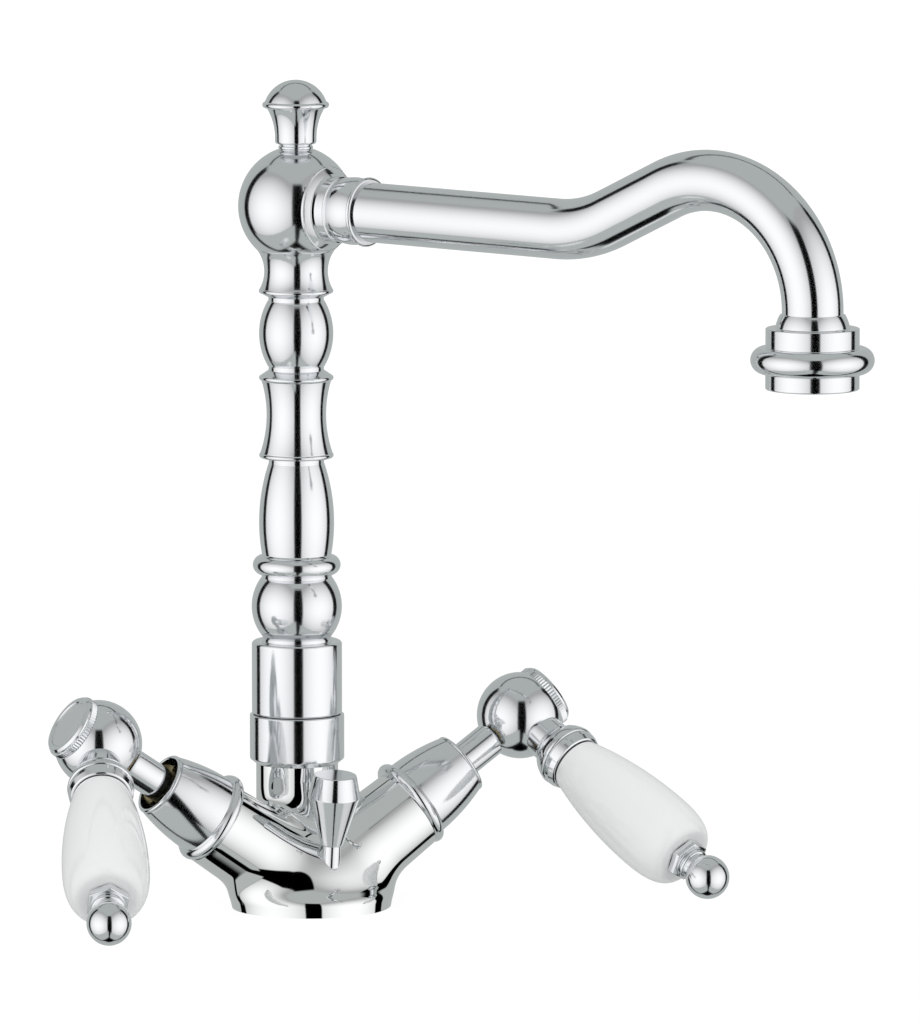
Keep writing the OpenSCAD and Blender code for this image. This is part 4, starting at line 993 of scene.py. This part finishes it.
class TAP_OT_levers(bpy.types.Operator):
    """Builds the bells, washers, ceramic grips and end nuts of both levers"""

    bl_idname = "tap.levers"
    bl_label = "Levers"

    def execute(self, context):
        scene = context.scene
        v, e = sizes(scene.tap_valve), sizes(scene.tap_lever)
        end, bore_r = e.bell_end + e.washer_t + e.grip_len, 3.3
        washers = {
            "inner_washer": (e.bell_end, e.grip_start_d / 2 - 0.4),
            "outer_washer": (end, e.hex_d / 2 - 1.2),
        }
        for side in SIDES:
            place, name, body = lever_frame(scene, side), side + "_", side + "_lever"
            piece(name + "bell", spun(bell_outline(v, e)), place, body, name + "lever_bell")
            grip = spun(grip_outline(e), steps=128)
            piece(name + "ceramic_grip", grip, place, body, name + "grip", "porcelain", sharp=60)
            for node, (low, r) in washers.items():
                high = low + e.washer_t
                washer = spun([(bore_r, low), (r, low), (r, high), (bore_r, high)], steps=64)
                piece(name + node + "_turned", washer, place, body, name + node, "rubber")
            piece(name + "end_knob", end_nut(e), place, body, name + "end_nut")
        return {"FINISHED"}


# Pop-up knob


class TAP_OT_popup(bpy.types.Operator):
    """Builds the pop-up rod's guide, the rod and the knob"""

    bl_idname = "tap.popup"
    bl_label = "Pop-up knob"

    def execute(self, context):
        p = sizes(context.scene.tap_popup)
        place = rod_frame(context.scene)
        rod_r, rod_foot = p.rod_d / 2, 1.2
        bore_r, guide_r, hole_r = rod_r + 0.06, rod_r + 0.95, rod_r + 0.05
        foot, edge = 3, p.guide_top
        guide = [(bore_r, foot), (guide_r, foot), (guide_r, edge, 0.35), (bore_r, edge)]
        piece("rod_guide", spun(guide, steps=96), place, "tap_body", "popup_guide")
        low = edge + 0.1
        wide, top, end = low + 0.69 * p.knob_h, low + p.knob_h, low + 9.9
        lift = [(0, rod_foot), (rod_r, rod_foot, 0.2), (rod_r, end), (0, end)]
        piece("lift_rod", spun(lift, steps=64), place, "popup", "popup_rod")
        knob = [(hole_r, low), (p.knob_foot_d / 2, low, 0.25), (p.knob_wide_d / 2, wide, 0.5)]
        knob += [(p.knob_top_d / 2, top, 0.35), (0.001, top), (0.001, end + 0.2), (hole_r, end + 0.2)]
        piece("pull_knob", spun(knob), place, "popup", "popup_knob")
        return {"FINISHED"}


# Studio

# Angles are in degrees, round from the camera and up from the level.

# The dark band round the front: its two sides, its fade into the ceiling, the dark under the
# tap, and the thin dark line that goes on behind
BAND, CEILING, NADIR, LINE = (-124, 123), (42, 50), (-78, -72), (48, 50.5)
# Middle and half width of each softbox, then its top and its skirt as rise over run
SOFTBOXES = ((-58.5, 49.5, 1.54, 1.02), (61.5, 44.5, 1.7, 1.25))
BOX_EDGE = 2.5
# Height of the softboxes' brightest place, how far their light spreads, and its limit
BOX_CENTRE, BOX_SPREAD, DIMMEST = -5, (52, 45), 1.7
# The grey panels under the softboxes: how much wider they are, their foot and their tone
PANEL_PAST, PANEL_FOOT, PANEL_TONE = 5.5, -3.5, 1.05
# The floor's own colour, the glow that the camera sees on it near the tap, what that gains
# farther off, over which metres, and the glow's share
FLOOR_TONE, FLOOR_GLOW, FLOOR_GLOW_FAR, FLOOR_FAR, FLOOR_SHARE = 0.86, 1.06, 0.1, (0.5, 3.0), 0.88
# Lengths of the lamps and of the floor, in metres
LAMP_OUT, LAMP_SIZE, LAMP_AIM, FLOOR_HALF = 0.9, 0.8, (0, 0, 0.1), 15.0
CAMERA_AHEAD = (0.41380855, 0.90139064, -0.12750447)
WHITE = (1, 1, 1, 1)


def camera_axes(studio):
    """To the camera's right and towards the camera, on the level."""
    a = studio.azimuth
    return Vector((math.cos(a), math.sin(a), 0)), Vector((math.sin(a), -math.cos(a), 0))


def paint_surround(scene):
    """Two wide softboxes either side of the camera, dark gaps round them and a grey room."""
    studio = scene.tap_studio
    world = scene.world or bpy.data.worlds.new("studio")
    scene.world = world
    world.use_nodes = True
    n = Nodes(world.node_tree)
    ray = n.add("ShaderNodeTexCoord").outputs["Generated"]

    def part(axis):
        return n.add("ShaderNodeVectorMath", {0: ray, 1: axis}, operation="DOT_PRODUCT").outputs["Value"]

    def window(value, low, low_soft, high, high_soft):
        return n.times(n.step(value, low - low_soft, low), n.rest(n.step(value, high, high + high_soft)))

    right, near = camera_axes(studio)
    around = n.math("DEGREES", n.math("ARCTAN2", part(right), part(near)))
    height = n.math("DEGREES", n.math("ARCSINE", part((0, 0, 1))))
    front = window(around, BAND[0], 2, BAND[1], 2)
    gap = n.more(n.times(front, n.rest(n.step(height, *CEILING))), n.rest(n.step(height, *NADIR)))
    gap = n.more(gap, n.times(n.rest(front), window(height, LINE[0], 1, LINE[1], 1)))
    level, boxes = n.times(studio.surround, n.rest(gap)), 0.0
    for middle, half, top, skirt in SOFTBOXES:
        aside = n.less(around, middle)
        ahead = n.more(n.math("COSINE", n.math("RADIANS", aside)), 0.05)
        rise = n.over(n.math("TANGENT", n.math("RADIANS", height)), ahead)
        wide = n.math("POWER", n.over(aside, BOX_SPREAD[0]), 2)
        tall = n.math("POWER", n.over(n.less(height, BOX_CENTRE), BOX_SPREAD[1]), 2)
        far = n.math("MINIMUM", n.math("ADD", wide, tall), DIMMEST)
        glow = n.less(studio.softbox, n.times(far, studio.falloff))
        box = n.times(window(aside, -half, BOX_EDGE, half, BOX_EDGE), window(rise, -skirt, 0.1, top, 0.12))
        past, brink = half + PANEL_PAST, -skirt - 0.1
        panel = window(rise, PANEL_FOOT, 1.0, brink, 0.06)
        panel = n.times(window(aside, -past, BOX_EDGE, past, BOX_EDGE), panel)
        level = n.mix(box, n.mix(panel, level, studio.surround * PANEL_TONE), glow)
        boxes = n.more(boxes, box)
    path = n.add("ShaderNodeLightPath").outputs
    seen, diffuse = path["Is Camera Ray"], path["Is Diffuse Ray"]
    level = n.mix(seen, n.mix(diffuse, level, studio.fill), 1.0)
    plain = n.more(n.more(boxes, seen), diffuse)
    hue = n.mix(plain, shade(studio.surround_tint, 1.0), WHITE, "RGBA")
    light = n.add("ShaderNodeBackground", {"Color": hue, "Strength": level})
    n.add("ShaderNodeOutputWorld", {"Surface": light.outputs["Background"]})


def facing(place, ahead):
    """Stands at that place and looks that way."""
    return Matrix.Translation(place) @ Vector(ahead).to_track_quat("-Z", "Y").to_matrix().to_4x4()


class TAP_OT_studio(bpy.types.Operator):
    """Sets up the floor, the soft light and the camera"""

    bl_idname = "tap.studio"
    bl_label = "Studio"

    def execute(self, context):
        scene = context.scene
        studio = scene.tap_studio
        paint_surround(scene)
        grid = bmesh.new()
        bmesh.ops.create_grid(grid, x_segments=1, y_segments=1, size=FLOOR_HALF)
        floor = placed("floor", as_mesh("floor", grid))
        floor.visible_glossy = False
        pale = bpy.data.materials.new("pale_floor")
        pale.use_nodes = True
        floor.data.materials.append(pale)
        n = Nodes(pale.node_tree)
        matte = n.add("ShaderNodeBsdfDiffuse", {"Color": (FLOOR_TONE, FLOOR_TONE, FLOOR_TONE, 1)})
        place = n.add("ShaderNodeTexCoord").outputs["Object"]
        away = n.add("ShaderNodeVectorMath", {0: place}, operation="LENGTH").outputs["Value"]
        glow = n.math("ADD", FLOOR_GLOW, n.times(n.step(away, *FLOOR_FAR), FLOOR_GLOW_FAR))
        bright = n.add("ShaderNodeEmission", {"Color": WHITE, "Strength": glow})
        seen = n.times(n.add("ShaderNodeLightPath").outputs["Is Camera Ray"], FLOOR_SHARE)
        both = n.add("ShaderNodeMixShader", {0: seen, 1: matte.outputs[0], 2: bright.outputs[0]})
        n.add("ShaderNodeOutputMaterial", {"Surface": both.outputs[0]})
        right, near = camera_axes(studio)
        for name, way in (("lamp_left", -1), ("lamp_right", 1)):
            lamp = bpy.data.lights.new(name, "AREA")
            lamp.shape, lamp.size, lamp.energy = "SQUARE", LAMP_SIZE, studio.key_power
            place = (way * right + near + Vector((0, 0, 1))) * LAMP_OUT
            obj = placed(name, lamp)
            obj.matrix_world = facing(place, Vector(LAMP_AIM) - place)
            obj.visible_glossy = False
        lens = bpy.data.cameras.new("camera")
        lens.sensor_fit, lens.sensor_height, lens.lens = "VERTICAL", 36.0, studio.lens
        lens.clip_start, lens.clip_end = 0.05, 60.0
        scene.camera = placed("camera", lens)
        scene.camera.matrix_world = facing(studio.camera_place, CAMERA_AHEAD)
        scene.view_settings.view_transform = "Standard"
        return {"FINISHED"}


class TAP_PT_panel(bpy.types.Panel):
    """Lists the steps that build the tap"""

    bl_idname = "TAP_PT_panel"
    bl_label = "Basin tap"
    bl_space_type = "VIEW_3D"
    bl_region_type = "UI"
    bl_category = "Basin tap"

    def draw(self, context):
        for step in STEPS:
            self.layout.operator(step.bl_idname)
        for key in GROUPS:
            box = self.layout.box()
            group = getattr(context.scene, key)
            for name in type(group).__annotations__:
                box.prop(group, name)


STEPS = (
    TAP_OT_finishes, TAP_OT_body, TAP_OT_column, TAP_OT_spout, TAP_OT_outlet, TAP_OT_valves, TAP_OT_levers,
    TAP_OT_popup, TAP_OT_studio,
)
GROUPS = {
    "tap_body": TapBodySizes,
    "tap_valve": TapValveSizes,
    "tap_lever": TapLeverSizes,
    "tap_column": TapColumnSizes,
    "tap_spout": TapSpoutSizes,
    "tap_popup": TapPopupSizes,
    "tap_finishes": TapFinishes,
    "tap_studio": TapStudio,
}


def register():
    for kind in (*GROUPS.values(), *STEPS, TAP_PT_panel):
        bpy.utils.register_class(kind)
    for key, kind in GROUPS.items():
        setattr(bpy.types.Scene, key, bpy.props.PointerProperty(type=kind))


def unregister():
    for key in GROUPS:
        delattr(bpy.types.Scene, key)
    for kind in (TAP_PT_panel, *STEPS, *GROUPS.values()):
        bpy.utils.unregister_class(kind)


def main():
    register()
    bpy.ops.tap.finishes()
    bpy.ops.tap.body()
    bpy.ops.tap.column()
    bpy.ops.tap.spout()
    bpy.ops.tap.outlet()
    bpy.ops.tap.valves()
    bpy.ops.tap.levers()
    bpy.ops.tap.popup()
    bpy.ops.tap.studio()
    bpy.context.view_layer.update()


if __name__ == "__main__":
    main()
